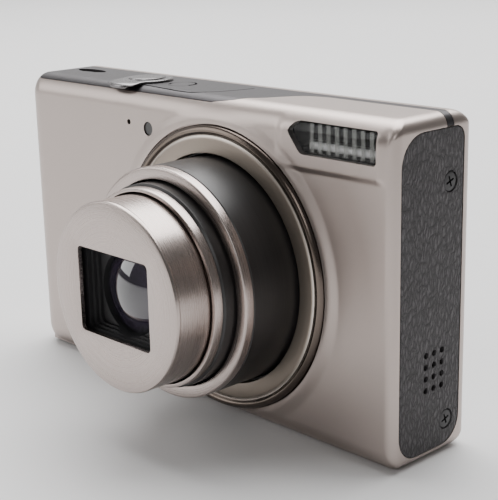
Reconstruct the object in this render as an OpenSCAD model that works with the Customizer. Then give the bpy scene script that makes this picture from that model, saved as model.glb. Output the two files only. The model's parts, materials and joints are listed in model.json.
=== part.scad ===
// Compact digital camera with a retractable zoom lens.
// The origin is the middle of the tripod socket's mouth, in the underside.
// +Z is up, the lens looks towards -Y, and the shutter release is at the -X end.
// All sizes are in millimetres.

/* [Body] */
// Width across the body
body_w = 99.6; // [90:0.2:122]
// Height of the body without the top controls
body_h = 58; // [54:0.2:72]
// Thickness of the body without the lens
body_t = 19.8; // [19.6:0.2:24]
// How far the middle of the body is to the right of the tripod socket
body_offset = 6; // [4:0.2:8]
// Wall of the front and rear covers
wall = 0.8; // [0.6:0.05:0.9]
// Open line between one cover and the next
seam_gap = 0.12; // [0.08:0.01:0.2]
// Seam between front and rear covers, measured from mid thickness
seam_y = 1.5; // [1:0.1:2]

/* [Lens] */
// Lens axis to the right of the body's middle
lens_offset = 9.6; // [8.6:0.1:11]
// Lens axis above the underside
lens_z = 27.5; // [26.5:0.1:32]
// Outer radius of the first, widest barrel
barrel_1_r = 20.35; // [19:0.05:20.8]
// Outer radius of the second barrel
barrel_2_r = 17.8; // [17.6:0.05:17.9]
// Outer radius of the front barrel
barrel_3_r = 16.35; // [16.2:0.05:16.5]
// Wall of the barrels
barrel_wall = 0.9; // [0.8:0.05:0.95]
// Clearance round a sliding barrel
barrel_clear = 0.3; // [0.2:0.05:0.35]
// How far the face of the front barrel stands before the body
lens_reach = 24; // [22:0.1:25]
// Outer radius of the polished ring round the lens
trim_r = 25.85; // [24:0.05:26.2]
// How far the polished ring stands before the body
trim_reach = 1.3; // [0.9:0.1:1.7]
// Width of the opening in the front face plate, as a share of the front barrel's outer radius
mouth_w_share = 1.1376; // [1.05:0.0001:1.14]
// Height of the opening in the front face plate, as a share of the front barrel's outer radius
mouth_h_share = 0.9174; // [0.75:0.0001:0.93]
// Thickness of a barrier blade
blade_t = 0.25; // [0.2:0.01:0.3]

/* [Flash] */
// Width of the flash window
flash_w = 19; // [16:0.1:20.5]
// Height of the flash window
flash_h = 5.2; // [4.4:0.1:5.6]
// Flash window's right edge in from the body's right end
flash_edge = 3.6; // [3:0.1:6]

/* [Side panel] */
// Thickness of the grained side panel
panel_t = 1; // [0.8:0.05:1.2]
// Clearance round the side panel
panel_clear = 0.06; // [0.04:0.01:0.1]
// Radius of one speaker hole
speaker_hole_r = 0.5; // [0.4:0.05:0.7]
// Distance between speaker holes
speaker_pitch = 2.05; // [1.8:0.05:2.3]

/* [Top controls] */
// Outer radius of the zoom lever's ring
lever_r = 5; // [4.7:0.1:5.6]
// Radius of the shutter button
shutter_r = 3.4; // [3:0.1:3.7]
// Radius of the power button
power_r = 2.6; // [2.2:0.1:2.8]
// Radial clearance of a button in its hole
button_clear = 0.15; // [0.1:0.01:0.2]

/* [Rear controls and screen] */
// Width of the screen's cover glass
screen_w = 68; // [60:0.5:70]
// Height of the screen's cover glass
screen_h = 48; // [42:0.5:49]
// Outer radius of the four-way pad
pad_r = 8.6; // [7.6:0.1:9.4]
// Radius of the set button in the pad's middle
set_r = 3.5; // [3:0.1:3.6]
// Radius of the small round rear buttons
small_button_r = 2.1; // [1.8:0.1:2.5]

/* [Battery and card] */
// Battery width
battery_w = 30.4; // [25:0.1:30.6]
// Battery height
battery_h = 38; // [32:0.1:38.4]
// Battery thickness
battery_t = 5.2; // [4.4:0.1:5.3]
// Memory card width
card_w = 24; // [20:0.1:25]
// Memory card height
card_h = 32; // [26:0.1:33]
// Memory card thickness
card_t = 2.1; // [1.8:0.1:2.3]

/* [Tripod socket] */
// Radius of the threaded hole
thread_r = 3.175; // [3:0.005:3.3]
// Depth of the threaded hole
thread_l = 5; // [4.4:0.1:5.2]
// Outer radius of the socket's bush
bush_r = 4.4; // [4.2:0.1:5]

/* [Hidden] */
mouth_w = barrel_3_r * mouth_w_share;
mouth_h = barrel_3_r * mouth_h_share;
$fn = 48;
e = 0.01;
x0 = body_offset - body_w / 2;
x1 = body_offset + body_w / 2;
yf = -body_t / 2;
yr = body_t / 2;
top_z = body_h;

// corner radii of the body: in the front view, the plan and the side view
front_radii = [5, 1.6, 1.6, 5];
plan_radii = [6, 1.4, 2.4, 5];
side_radii = [3.2, 3.4, 4.6, 4];

lens_x = body_offset + lens_offset;

// lens stack, as planes measured from the front of the body
ring_1_front = yf - 12.9;
ring_1_rear = yf - 11.2;
barrel_1_rear = yf + 1.7;
ring_2_front = yf - 16.9;
ring_2_rear = yf - 15.2;
barrel_2_rear = yf - 2.5;
cap_front = yf - lens_reach;
cap_t = 0.8;
cap_rear = cap_front + cap_t;
barrel_3_rear = cap_front + 14.3;
fixed_rear = yf + 10.2;
drive_front = yf + 10.5;
drive_rear = yf + 12.5;
base_front = yf + 13.1;
base_rear = yf + 14.3;
fixed_r = barrel_1_r + barrel_clear;
fixed_wall = 1.25;
travel_1 = 10.2;

// gear train: teeth, module and centres
gear_m = 0.4;
ring_teeth = 108;
idler_teeth = 20;
pinion_teeth = 10;
mesh_play = 0.06;
idler_angle = -50;
idler_reach = gear_m * (ring_teeth + idler_teeth) / 2 + mesh_play;
idler_x = lens_x + idler_reach * cos(idler_angle);
idler_z = lens_z + idler_reach * sin(idler_angle);
motor_reach = gear_m * (idler_teeth + pinion_teeth) / 2 + mesh_play;
motor_angle = 20;
motor_x = idler_x + motor_reach * cos(motor_angle);
motor_z = idler_z + motor_reach * sin(motor_angle);
motor_r = 3.5;

// flash window outline
flash_x1 = x1 - flash_edge;
flash_x0 = flash_x1 - flash_w;
flash_z1 = top_z - 1.9;
flash_z0 = flash_z1 - flash_h;

// side panel
panel_x = x1 - panel_t;
panel_y0 = yf + 1.6;
panel_y1 = yr - 2.7;
panel_z0 = 1.7;
panel_z1 = top_z - 2.4;
panel_radii = [3.4, 2.6, 1.8, 4.6];
side_screw_y = 3.8;
side_screw_z = [panel_z0 + 4.4, panel_z1 - 8.8];
side_screw_r = 1.7;
speaker_y = 0.4;
speaker_z = 15.7;

// top plate and its narrow rear strip
plate_t = 1;
plate_z = top_z - plate_t;
strip_y0 = 2.8;
strip_y1 = 4.4;
strip_z = top_z - 2.2;
plate_end = body_offset + 12;

// top controls
shutter_x = x0 + 32;
shutter_y = -2.6;
hub_r = shutter_r + 0.8;
power_x = x0 + 41.4;
power_y = -1.8;
switch_x = x0 + 10.8;
switch_y = 0;
switch_travel = 4;

// rear controls
pad_x = x0 + 14.3;
pad_z = 28;
play_x = x0 + 9.3;
movie_x = x0 + 19.3;
upper_z = 46;
lower_z = 11;
press = 0.3;
screen_x1 = x1 - 3.3;
screen_x0 = screen_x1 - screen_w;
screen_z0 = 5;

// battery bay
bay_wall = 0.5;
bay_z0 = 2.6;
battery_clear = 0.1;
bay_x0 = x0 + 4.8;
bay_x1 = bay_x0 + battery_w + 2 * battery_clear + 2 * bay_wall;
bay_y0 = yf + 1;
battery_y0 = bay_y0 + bay_wall + battery_clear;
battery_y1 = battery_y0 + battery_t;
battery_z0 = bay_z0 + 0.2;
bay_z1 = battery_z0 + battery_h + 0.2 + bay_wall;
card_y0 = battery_y1 + 2 * battery_clear + bay_wall;
card_y1 = card_y0 + card_t;
card_x0 = bay_x0 + 3.5;
card_z0 = bay_z0 + 0.6;
bay_y1 = card_y1 + battery_clear + bay_wall;

// battery door: a piece of the front cover's underside on a full-length knuckle
knuckle_r = 1;
pin_r = 0.35;
pin_clear = 0.05;
door_gap = 0.15;
door_x0 = x0 + 3.5;
door_x1 = bay_x1 + 0.2;
door_y0 = yf + 1.3;
door_hinge_y = -0.7;
latch_x = door_x1 - 9.4;
latch_y = -5.2;
latch_travel = 1.4;

// terminal door in the end wall
term_z0 = top_z - 15.4;
term_z1 = top_z - 5.6;
term_hinge_y = -2.8;
term_y1 = 4.2;

// strap bar in its pocket
strap_z0 = 15.5;
strap_z1 = 24.5;
strap_y = -1;
strap_x = x0 + 1.3;

// chassis and screen tray behind the lens
chassis_y = yr - 4.3;
chassis_t = 0.5;
board_y = bay_y1 + 0.4;
board_t = 0.8;

// ---- shared shapes ----

// rectangle with its own radius at each corner: lower left, lower right, upper right, upper left
module rounded_quad(a0, a1, b0, b1, r) {
    polygon([[a0 + r[0], b0], [a1 - r[1], b0], [a1, b0 + r[1]], [a1, b1 - r[2]],
        [a1 - r[2], b1], [a0 + r[3], b1], [a0, b1 - r[3]], [a0, b0 + r[0]]]);
    translate([a0 + r[0], b0 + r[0]]) circle(r[0]);
    translate([a1 - r[1], b0 + r[1]]) circle(r[1]);
    translate([a1 - r[2], b1 - r[2]]) circle(r[2]);
    translate([a0 + r[3], b1 - r[3]]) circle(r[3]);
}

// the body's outer form, or the same form set inwards by d
module body_form(d = 0) {
    intersection() {
        translate([0, yr - d, 0]) rotate([90, 0, 0]) linear_extrude(body_t - 2 * d)
            rounded_quad(x0 + d, x1 - d, d, top_z - d, [for (r = front_radii) r - d]);
        translate([0, 0, d - e]) linear_extrude(body_h - 2 * d + 2 * e)
            rounded_quad(x0 + d, x1 - d, yf + d, yr - d, [for (r = plan_radii) r - d]);
        translate([x0 - e, 0, 0]) rotate([90, 0, 90]) linear_extrude(body_w + 2 * e)
            rounded_quad(yf + d, yr - d, d, top_z - d, [for (r = side_radii) r - d]);
    }
}

module block(a, b) {
    translate(a) cube(b - a);
}

// cylinder along Y between two planes, at a place in the front view
module y_rod(x, z, r, ya, yb, sides = 48) {
    translate([x, yb, z]) rotate([90, 0, 0]) cylinder(h = yb - ya, r = r, $fn = sides);
}

module y_tube(x, z, r_out, r_in, ya, yb) {
    difference() {
        y_rod(x, z, r_out, ya, yb);
        y_rod(x, z, r_in, ya - 1, yb + 1);
    }
}

module x_rod(y, z, r, xa, xb) {
    translate([xa, y, z]) rotate([0, 90, 0]) cylinder(h = xb - xa, r = r);
}

module z_rod(x, y, r, za, zb) {
    translate([x, y, za]) cylinder(h = zb - za, r = r);
}

// outline of a spur gear with straight-flanked teeth
function gear_points(n, m, lower, upper) = [for (i = [0 : n - 1], s = [0 : 3])
    let (mid = 360 * i / n, half = 90 / n,
        a = s == 0 ? mid - 1.12 * half : s == 1 ? mid - 0.42 * half
            : s == 2 ? mid + 0.42 * half : mid + 1.12 * half,
        r = m * n / 2 + (s == 0 || s == 3 ? -lower : upper) * m)
    [r * cos(a), r * sin(a)]];

module y_gear(x, z, n, turn, ya, yb, flip = 1) {
    translate([x, yb, z]) rotate([90, 0, 0]) rotate([0, 0, turn])
        linear_extrude(yb - ya) polygon(gear_points(n, gear_m, 0.95, 0.7));
}

// ---- covers ----

module top_zone(g = 0) {
    translate([0, 0, plate_z - g]) linear_extrude(plate_t + 5) polygon([
        [x0 - 5, yf - 5], [plate_end - 6 + g, yf - 5], [plate_end - 6 + g, yf], [plate_end - 4.8 + g, yf + 1.3],
        [plate_end - 2 + g, yf + 1.9], [plate_end + 0.6 + g, yf + 2.7], [plate_end + 3.5 + g, yf + 4.9],
        [plate_end + 5.5 + g, yf + 8], [plate_end + 8 + g, yf + 11.2], [plate_end + 12, strip_y0 - g],
        [plate_end + 12, strip_y1 + g], [x0 - 5, strip_y1 + g]]);
    block([plate_end + 10, strip_y0 - g, strip_z - g], [x1 + 5, strip_y1 + g, top_z + 5]);
}

module front_zone(g = 0) {
    block([x0 - 5, yf - 5, -5], [x1 + 5, seam_y + g, top_z + 5]);
    block([plate_end - 2, yf - 5, top_z - 2.5 - g], [x1 + 5, strip_y0 + e, top_z + 5]);
}

module cover_shell() {
    difference() {
        body_form();
        body_form(wall);
    }
}

module panel_shape(g, xa, xb) {
    translate([xa, 0, 0]) rotate([90, 0, 90]) linear_extrude(xb - xa)
        rounded_quad(panel_y0 - g, panel_y1 + g, panel_z0 - g, panel_z1 + g,
            [for (r = panel_radii) r + g]);
}

module flash_shape(g = 0) {
    translate([0, yf + 6, 0]) rotate([90, 0, 0]) linear_extrude(12)
        polygon([[flash_x0 + 3.2, flash_z0 + 0.3 - g], [flash_x1 - 0.6, flash_z0 - g],
            [flash_x1 + g, flash_z0 + 0.6], [flash_x1 + g, flash_z1 - 0.6],
            [flash_x1 - 0.6, flash_z1 + g], [flash_x0 + 2, flash_z1 - 0.1 + g],
            [flash_x0 + 0.3 - g, flash_z1 - 1.4], [flash_x0 + 0.3 - g, flash_z1 - 2.2],
            [flash_x0 + 2.2 - g, flash_z0 + 0.9]]);
}

module end_wall() {
    intersection() {
        difference() {
            body_form();
            block([x0 - 9, yf - 9, -9], [panel_x - wall, yr + 9, top_z + 9]);
        }
        panel_shape(0.7, panel_x - wall, x1);
    }
}

module door_opening(g = 0) {
    block([door_x0 - g, door_y0 - g, -2], [door_x1 + g, door_hinge_y + knuckle_r + g, 2.1]);
}

module terminal_opening(g = 0) {
    block([x0 - 2, term_hinge_y - knuckle_r - g, term_z0 - g],
        [x0 + 2 * knuckle_r + 0.2, term_y1 + g, term_z1 + g]);
}

module front_cover() {
    color("Tan") difference() {
        union() {
            intersection() {
                cover_shell();
                front_zone(-seam_gap / 2);
            }
            // end wall behind the side panel
            intersection() {
                end_wall();
                front_zone(-seam_gap / 2);
            }
            // lugs that hold the battery door's pin
            intersection() {
                body_form();
                union() {
                    block([door_x0 - door_gap - 1.4, door_hinge_y - 1.1, 0],
                        [door_x0 - door_gap, door_hinge_y + 1.1, 2.2]);
                    block([door_x1 + door_gap, door_hinge_y - 1.1, 0],
                        [door_x1 + door_gap + 1.4, door_hinge_y + 1.1, 2.2]);
                    // lugs that hold the terminal door's pin
                    block([x0, term_hinge_y - 1.1, term_z0 - door_gap - 1.3],
                        [x0 + 2.2, term_hinge_y + 1.1, term_z0 - door_gap]);
                    block([x0, term_hinge_y - 1.1, term_z1 + door_gap],
                        [x0 + 2.2, term_hinge_y + 1.1, term_z1 + door_gap + 1.3]);
                    // pocket round the strap bar
                    block([x0, strap_y - 2.2, strap_z0 - 1.6],
                        [x0 + 3.2, strap_y + 2.2, strap_z1 + 1.6]);
                }
            }
        }
        top_zone(seam_gap);
        y_rod(lens_x, lens_z, fixed_r + fixed_wall + 0.7, yf - 9, yf + 9);
        flash_shape(0.08);
        y_rod(lens_x - 18.6, top_z - 7.4, 1.3, yf - 9, yf + 5);
        y_rod(lens_x - 24.4, top_z - 6.7, 0.5, yf - 9, yf + 5);
        panel_shape(panel_clear, panel_x, x1 + 9);
        door_opening(door_gap);
        x_rod(door_hinge_y, knuckle_r, pin_r, door_x0 - door_gap - 1, door_x1 + door_gap + 1);
        terminal_opening(door_gap);
        z_rod(x0 + knuckle_r, term_hinge_y, pin_r, term_z0 - door_gap - 1,
            term_z1 + door_gap + 1);
        block([x0 - 2, strap_y - 1.6, strap_z0], [x0 + 2.6, strap_y + 1.6, strap_z1]);
        z_rod(strap_x, strap_y, 0.6, strap_z0 - 1, strap_z1 + 1);
        z_rod(0, 0, bush_r + 0.05, -1, 3);
        speaker_holes(speaker_hole_r);
    }
}

module speaker_holes(r) {
    for (i = [-1 : 1], k = [-1.5 : 1.5])
        x_rod(speaker_y + i * speaker_pitch, speaker_z + k * speaker_pitch, r, x1 - 5, x1 + 2);
}

module rear_cover() {
    color("Tan") difference() {
        union() {
            difference() {
                cover_shell();
                front_zone(seam_gap / 2);
            }
            difference() {
                end_wall();
                front_zone(seam_gap / 2);
            }
            // bosses for the side panel's screws
            for (z = side_screw_z) x_rod(side_screw_y, z, 1.5, panel_x - 4.4, panel_x);
        }
        top_zone(seam_gap);
        panel_shape(panel_clear, panel_x, x1 + 9);
        for (z = side_screw_z) x_rod(side_screw_y, z, 0.7, panel_x - 4, x1 + 2);
        terminal_opening(door_gap);
        z_rod(0, 0, bush_r + 0.05, -1, 3);
        speaker_holes(speaker_hole_r);
        block([screen_x0 - 0.1, yr - 2, screen_z0 - 0.1],
            [screen_x1 + 0.1, yr + 2, screen_z0 + screen_h + 0.1]);
        y_rod(pad_x, pad_z, pad_r + button_clear, yr - 2, yr + 2);
        for (x = [play_x, movie_x]) y_rod(x, upper_z, small_button_r + button_clear, yr - 2, yr + 2);
        y_rod(pad_x, lower_z, small_button_r + button_clear, yr - 2, yr + 2);
        for (x = bottom_screw_x) {
            z_rod(x, bottom_screw_y, 0.5, -1, 3);
            z_rod(x, bottom_screw_y, 1.25, -1, 0.45);
        }
    }
}

bottom_screw_x = [x0 + 12, 14, x1 - 12];
bottom_screw_y = 4.8;

module top_cover() {
    color("DimGray") difference() {
        intersection() {
            body_form();
            top_zone();
        }
        z_rod(shutter_x, shutter_y, hub_r + button_clear, plate_z - 1, top_z + 1);
        z_rod(power_x, power_y, power_r + button_clear, plate_z - 1, top_z + 1);
        block([switch_x - 4.5, switch_y - 1.6, plate_z - 1], [switch_x + 4.5, switch_y + 1.6, top_z + 1]);
    }
}

module side_panel() {
    color("DarkSlateGray") difference() {
        panel_shape(0, panel_x, x1);
        speaker_holes(speaker_hole_r);
        for (z = side_screw_z) {
            x_rod(side_screw_y, z, 0.75, panel_x - 1, x1 + 1);
            x_rod(side_screw_y, z, side_screw_r + 0.05, x1 - 0.65, x1 + 1);
        }
    }
}

module side_screws() {
    color("Black") for (z = side_screw_z) difference() {
        union() {
            x_rod(side_screw_y, z, side_screw_r, x1 - 0.65, x1 - 0.1);
            x_rod(side_screw_y, z, 0.7, panel_x - 3.6, x1 - 0.6);
        }
        block([x1 - 0.45, side_screw_y - 0.95, z - 0.17], [x1 + 1, side_screw_y + 0.95, z + 0.17]);
        block([x1 - 0.45, side_screw_y - 0.17, z - 0.95], [x1 + 1, side_screw_y + 0.17, z + 0.95]);
    }
}

module lens_ring() {
    r0 = fixed_r + 0.25;
    color("Silver") translate([lens_x, 0, lens_z]) rotate([90, 0, 0]) rotate_extrude($fn = 96)
        polygon([[r0, -yf - wall], [fixed_r + fixed_wall + 0.65, -yf - wall],
            [fixed_r + fixed_wall + 0.65, -yf], [trim_r, -yf], [trim_r, -yf + 0.4],
            [trim_r - 0.7, -yf + trim_reach - 0.1], [trim_r - 1.2, -yf + trim_reach],
            [trim_r - 1.9, -yf + trim_reach - 0.5], [trim_r - 2.5, -yf + trim_reach - 0.1],
            [r0, -yf + trim_reach]]);
}

// ---- flash, lamp and sealed electronics ----

module flash_window() {
    color("White") intersection() {
        difference() {
            body_form();
            body_form(wall);
        }
        flash_shape();
        block([x0, yf - 1, 0], [x1, yf + 4, top_z]);
    }
}

module flash_reflector() {
    color("Silver") difference() {
        intersection() {
            body_form(wall + 0.05);
            block([flash_x0 + 1.4, yf, flash_z0 - 0.4], [flash_x1 + 0.2, yf + 5.6, top_z]);
        }
        x_rod(yf + 1.6, (flash_z0 + flash_z1) / 2, 2.3, flash_x0 + 2, flash_x1 - 0.4);
        block([flash_x0 + 2, yf - 1, (flash_z0 + flash_z1) / 2 - 2.3],
            [flash_x1 - 0.4, yf + 1.6, (flash_z0 + flash_z1) / 2 + 2.3]);
    }
}

module flash_tube() {
    color("LightGray") x_rod(yf + 2.4, (flash_z0 + flash_z1) / 2, 0.9, flash_x0 + 2, flash_x1 - 0.4);
}

module flash_capacitor() {
    color("Black") x_rod(yf + 5.2, bay_z1 + 4.2, 3.5, x0 + 9.8, x0 + 34);
}

module af_lamp() {
    color("Orange") y_rod(lens_x - 18.6, top_z - 7.4, 1.2, yf + 0.1, yf + 1.6);
}

module screen_glass() {
    color("Black") block([screen_x0, yr - 0.9, screen_z0], [screen_x1, yr - 0.1, screen_z0 + screen_h]);
}

module lcd_panel() {
    color("DarkSlateGray") block([screen_x0 + 1.5, chassis_y + chassis_t, screen_z0 + 1.5],
        [screen_x1 - 1.5, yr - 1, screen_z0 + screen_h - 1.5]);
}

module chassis() {
    color("Gray") difference() {
        union() {
            block([x0 + 4, chassis_y, 2.6], [x1 - 6, chassis_y + chassis_t, top_z - 3.6]);
            block([x0 + 5, bottom_screw_y - 1.6, wall + 0.1], [x1 - 6, chassis_y + chassis_t, wall + 0.7]);
            block([x0 + 5, chassis_y, wall + 0.1], [x1 - 6, chassis_y + chassis_t, 2.7]);
            for (a = [45, 135, 225]) y_rod(lens_x + 21.6 * cos(a), lens_z + 21.6 * sin(a), 1.4,
                base_rear, chassis_y + e);
            // posts that carry the main board
            for (z = [bay_z1 - 4, bay_z1 - 28]) y_rod(bay_x0 + 8, z, 1.4, board_y + board_t, chassis_y + e);
        }
        for (x = bottom_screw_x) z_rod(x, bottom_screw_y, 0.5, 0, 3);
        y_rod(x0 + 9, top_z - 8, 1.2, chassis_y - 1, chassis_y + 1);
        z_rod(0, 0, bush_r + 1.8, 0, 3);
    }
}

module main_board() {
    color("DarkGreen") {
        block([bay_x0 + 5, board_y, bay_z0 + 4], [bay_x1 - 1.5, board_y + board_t, top_z - 4.5]);
        block([bay_x0 + 13, board_y + board_t, 12], [bay_x0 + 23, board_y + board_t + 1.1, 22]);
        block([bay_x0 + 15, board_y + board_t, 28], [bay_x0 + 23, board_y + board_t + 1, 35]);
    }
}

module button_board() {
    color("Green") block([x0 + 4.4, chassis_y + chassis_t, lower_z - 4],
        [screen_x0 - 0.6, chassis_y + chassis_t + 0.5, upper_z + 4]);
}

module battery_bay() {
    color("Black") difference() {
        block([bay_x0, bay_y0, bay_z0], [bay_x1, bay_y1, bay_z1]);
        block([bay_x0 + bay_wall, battery_y0 - battery_clear, 0],
            [bay_x1 - bay_wall, battery_y1 + battery_clear, bay_z1 - bay_wall]);
        block([card_x0 - battery_clear, card_y0 - battery_clear, 0],
            [card_x0 + card_w + battery_clear, card_y1 + battery_clear, card_z0 + card_h + 0.2]);
    }
}

module battery() {
    bx = bay_x0 + bay_wall + battery_clear;
    color("DimGray") block([bx, battery_y0, battery_z0], [bx + battery_w, battery_y1, battery_z0 + battery_h]);
}

module memory_card() {
    color("MidnightBlue") difference() {
        block([card_x0, card_y0, card_z0], [card_x0 + card_w, card_y1, card_z0 + card_h]);
        translate([card_x0 + card_w, 0, card_z0 + card_h]) rotate([0, 45, 0])
            block([-2.8, -20, -2.8], [2.8, 20, 2.8]);
    }
}

module tripod_socket() {
    color("Silver") difference() {
        union() {
            z_rod(0, 0, bush_r, 0, thread_l + 0.6);
            z_rod(0, 0, bush_r + 1, wall, wall + 0.9);
        }
        z_rod(0, 0, thread_r, -1, thread_l);
    }
}

module terminal_sockets() {
    sx = x0 + 2 * knuckle_r + 0.6;
    color("Silver") for (p = [[-1.9, term_z0 + 1, 2.6, 7.8], [1.5, term_z0 + 1.3, 2.4, 7]]) {
        difference() {
            block([sx, p[0], p[1]], [sx + 5.6, p[0] + p[2], p[1] + p[3]]);
            block([sx - 1, p[0] + 0.4, p[1] + 0.4], [sx + 4.6, p[0] + p[2] - 0.4, p[1] + p[3] - 0.4]);
        }
        // tongue that carries the contacts
        block([sx + 1, p[0] + p[2] / 2 - 0.3, p[1] + 1.2], [sx + 4.7, p[0] + p[2] / 2 + 0.3, p[1] + p[3] - 1.2]);
    }
    // little board that joins the two sockets
    color("DarkGreen") block([sx + 5.6, -2.2, term_z0], [sx + 6.4, 4.4, term_z1]);
}

module strap_bar() {
    color("Silver") z_rod(strap_x, strap_y, 0.6, strap_z0 - 1, strap_z1 + 1);
}

module speaker() {
    sx = panel_x - wall - 0.1;
    color("Black") difference() {
        block([sx - 3.4, speaker_y - 3.6, speaker_z - 5.4], [sx, speaker_y + 3.6, speaker_z + 5.4]);
        block([sx - 1, speaker_y - 2.8, speaker_z - 4.4], [sx + 1, speaker_y + 2.8, speaker_z + 4.4]);
    }
}

module bottom_screws() {
    color("Silver") for (x = bottom_screw_x) difference() {
        union() {
            z_rod(x, bottom_screw_y, 1.2, 0.05, 0.45);
            z_rod(x, bottom_screw_y, 0.5, 0.4, 2.6);
        }
        block([x - 0.75, bottom_screw_y - 0.13, -1], [x + 0.75, bottom_screw_y + 0.13, 0.25]);
        block([x - 0.13, bottom_screw_y - 0.75, -1], [x + 0.13, bottom_screw_y + 0.75, 0.25]);
    }
}

module door_pins() {
    color("Silver") {
        x_rod(door_hinge_y, knuckle_r, pin_r, door_x0 - door_gap - 1, door_x1 + door_gap + 1);
        z_rod(x0 + knuckle_r, term_hinge_y, pin_r, term_z0 - door_gap - 1, term_z1 + door_gap + 1);
    }
}

// ---- lens mount and drive ----

module fixed_barrel() {
    color("Black") {
        y_tube(lens_x, lens_z, fixed_r + fixed_wall, fixed_r, yf + wall + 0.1, fixed_rear);
        for (a = [45, 135, 225]) translate([lens_x, 0, lens_z]) rotate([0, -a, 0])
            union() {
                block([fixed_r + fixed_wall - 0.2, fixed_rear - 1.6, -2], [fixed_r + 2.9, fixed_rear, 2]);
                block([fixed_r + fixed_wall + 0.35, fixed_rear - 1.6, -2], [fixed_r + 2.9, base_front, 2]);
            }
    }
}

module lens_base() {
    color("Black") {
        difference() {
            union() {
                y_rod(lens_x, lens_z, fixed_r + 2.9, base_front, base_rear);
                y_rod(idler_x, idler_z, 2.4, base_front, base_rear);
            }
            block([lens_x - 4.6, base_front - 1, lens_z - 3.6], [lens_x + 4.6, base_rear + 1, lens_z + 3.6]);
        }
        // axle of the idler gear
        y_rod(idler_x, idler_z, 0.6, drive_front, base_front + e);
        // guide rods of the focus group
        for (s = [-1, 1]) y_rod(lens_x + s * 13, lens_z, 0.5, yf + 6.2, base_front + e);
    }
}

module image_sensor() {
    color("DarkSlateGray") block([lens_x - 6.5, base_rear, lens_z - 5.5], [lens_x + 6.5, base_rear + 1, lens_z + 5.5]);
}

module zoom_motor() {
    color("Silver") difference() {
        y_rod(motor_x, motor_z, motor_r, yf + wall + 0.2, fixed_rear - 0.1);
        y_rod(motor_x, motor_z, 0.45, yf + 4, fixed_rear + 1);
    }
}

module drive_ring() {
    color("Black") difference() {
        y_gear(lens_x, lens_z, ring_teeth, idler_angle + 180 / ring_teeth, drive_front, drive_rear);
        y_rod(lens_x, lens_z, fixed_r, drive_front - 1, drive_rear + 1, 192);
    }
}

module zoom_gear() {
    color("White") difference() {
        y_gear(idler_x, idler_z, idler_teeth, idler_angle + 180, drive_front + 0.05, drive_rear - 0.1);
        y_rod(idler_x, idler_z, 0.65, drive_front - 1, drive_rear + 1);
    }
}

// the pinion's teeth are turned to meet the idler's gaps
pinion_turn = motor_angle + 180 + 180 / pinion_teeth
    + (motor_angle - idler_angle - 180) * idler_teeth / pinion_teeth;

module motor_pinion() {
    color("Gold") {
        y_gear(motor_x, motor_z, pinion_teeth, pinion_turn, drive_front + 0.05, drive_rear - 0.1);
        y_rod(motor_x, motor_z, 0.4, yf + 5, drive_front + 0.1);
    }
}

// ---- lens barrels and glass ----

module barrel_1() {
    color("Black") y_tube(lens_x, lens_z, barrel_1_r, barrel_1_r - barrel_wall, ring_1_rear, barrel_1_rear);
}

module ring_1() {
    color("Tan") y_tube(lens_x, lens_z, barrel_1_r, barrel_2_r + barrel_clear, ring_1_front, ring_1_rear);
}

module cam_ring() {
    color("Gray") y_tube(lens_x, lens_z, barrel_1_r - barrel_wall - 0.35, barrel_2_r + 0.35,
        ring_1_rear + 0.3, barrel_1_rear - 0.3);
}

module barrel_2() {
    color("Black") y_tube(lens_x, lens_z, barrel_2_r, barrel_2_r - barrel_wall, ring_2_rear, barrel_2_rear);
}

module ring_2() {
    color("Tan") y_tube(lens_x, lens_z, barrel_2_r - 0.4, barrel_3_r + barrel_clear, ring_2_front, ring_2_rear);
}

module barrel_3() {
    color("Tan") y_tube(lens_x, lens_z, barrel_3_r, barrel_3_r - 0.85, cap_rear, barrel_3_rear);
}

module front_cap() {
    color("Tan") difference() {
        y_rod(lens_x, lens_z, barrel_3_r, cap_front, cap_rear);
        block([lens_x - mouth_w / 2, cap_front - 1, lens_z - mouth_h / 2],
            [lens_x + mouth_w / 2, cap_rear + 1, lens_z + mouth_h / 2]);
    }
}

module lens_frame() {
    frame_y = cap_rear + 0.9;
    color("Black") difference() {
        y_rod(lens_x, lens_z, barrel_3_r - 0.85, frame_y, frame_y + 6.2);
        block([lens_x - mouth_w / 2 + 0.4, frame_y - 1, lens_z - mouth_h / 2 + 0.4],
            [lens_x + mouth_w / 2 - 0.4, frame_y + 0.8, lens_z + mouth_h / 2 - 0.4]);
        y_rod(lens_x, lens_z, 7.6, frame_y, frame_y + 3.4);
        y_rod(lens_x, lens_z, 6.4, frame_y, frame_y + 9);
    }
}

module front_lens() {
    ly = cap_rear + 1.1;
    color("LightSteelBlue") intersection() {
        y_rod(lens_x, lens_z, 7.5, ly, ly + 3.2);
        translate([lens_x, ly + 18.5, lens_z]) sphere(r = 18.5, $fn = 96);
    }
}

module blade(side, layer) {
    ya = cap_rear + 0.1 + layer * (blade_t + 0.15);
    z = lens_z + side * mouth_h * 0.6533;
    color("DimGray") block([lens_x - mouth_w * 0.516, ya, z - mouth_h * 0.14], [lens_x + mouth_w * 0.516, ya + blade_t, z + mouth_h * 0.14]);
}

module barrier_upper_front() {
    blade(1, 0);
}

module barrier_upper_rear() {
    blade(1, 1);
}

module barrier_lower_front() {
    blade(-1, 0);
}

module barrier_lower_rear() {
    blade(-1, 1);
}

module zoom_lens() {
    ya = yf - 13.4;
    color("Black") difference() {
        y_rod(lens_x, lens_z, barrel_3_r - 0.85 - barrel_clear, ya, ya + 3.4);
        for (s = [-1, 1]) y_rod(lens_x + s * 13, lens_z, 0.9, ya - 1, ya + 9);
        translate([lens_x, ya - 9.2, lens_z]) sphere(r = 10, $fn = 64);
    }
}

module focus_lens() {
    ya = yf + 6.9;
    color("Black") difference() {
        y_rod(lens_x, lens_z, 14.6, ya, ya + 2.2);
        for (s = [-1, 1]) y_rod(lens_x + s * 13, lens_z, 0.55, ya - 1, ya + 9);
        translate([lens_x, ya - 11.3, lens_z]) sphere(r = 12, $fn = 64);
    }
}

// ---- doors ----

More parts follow.
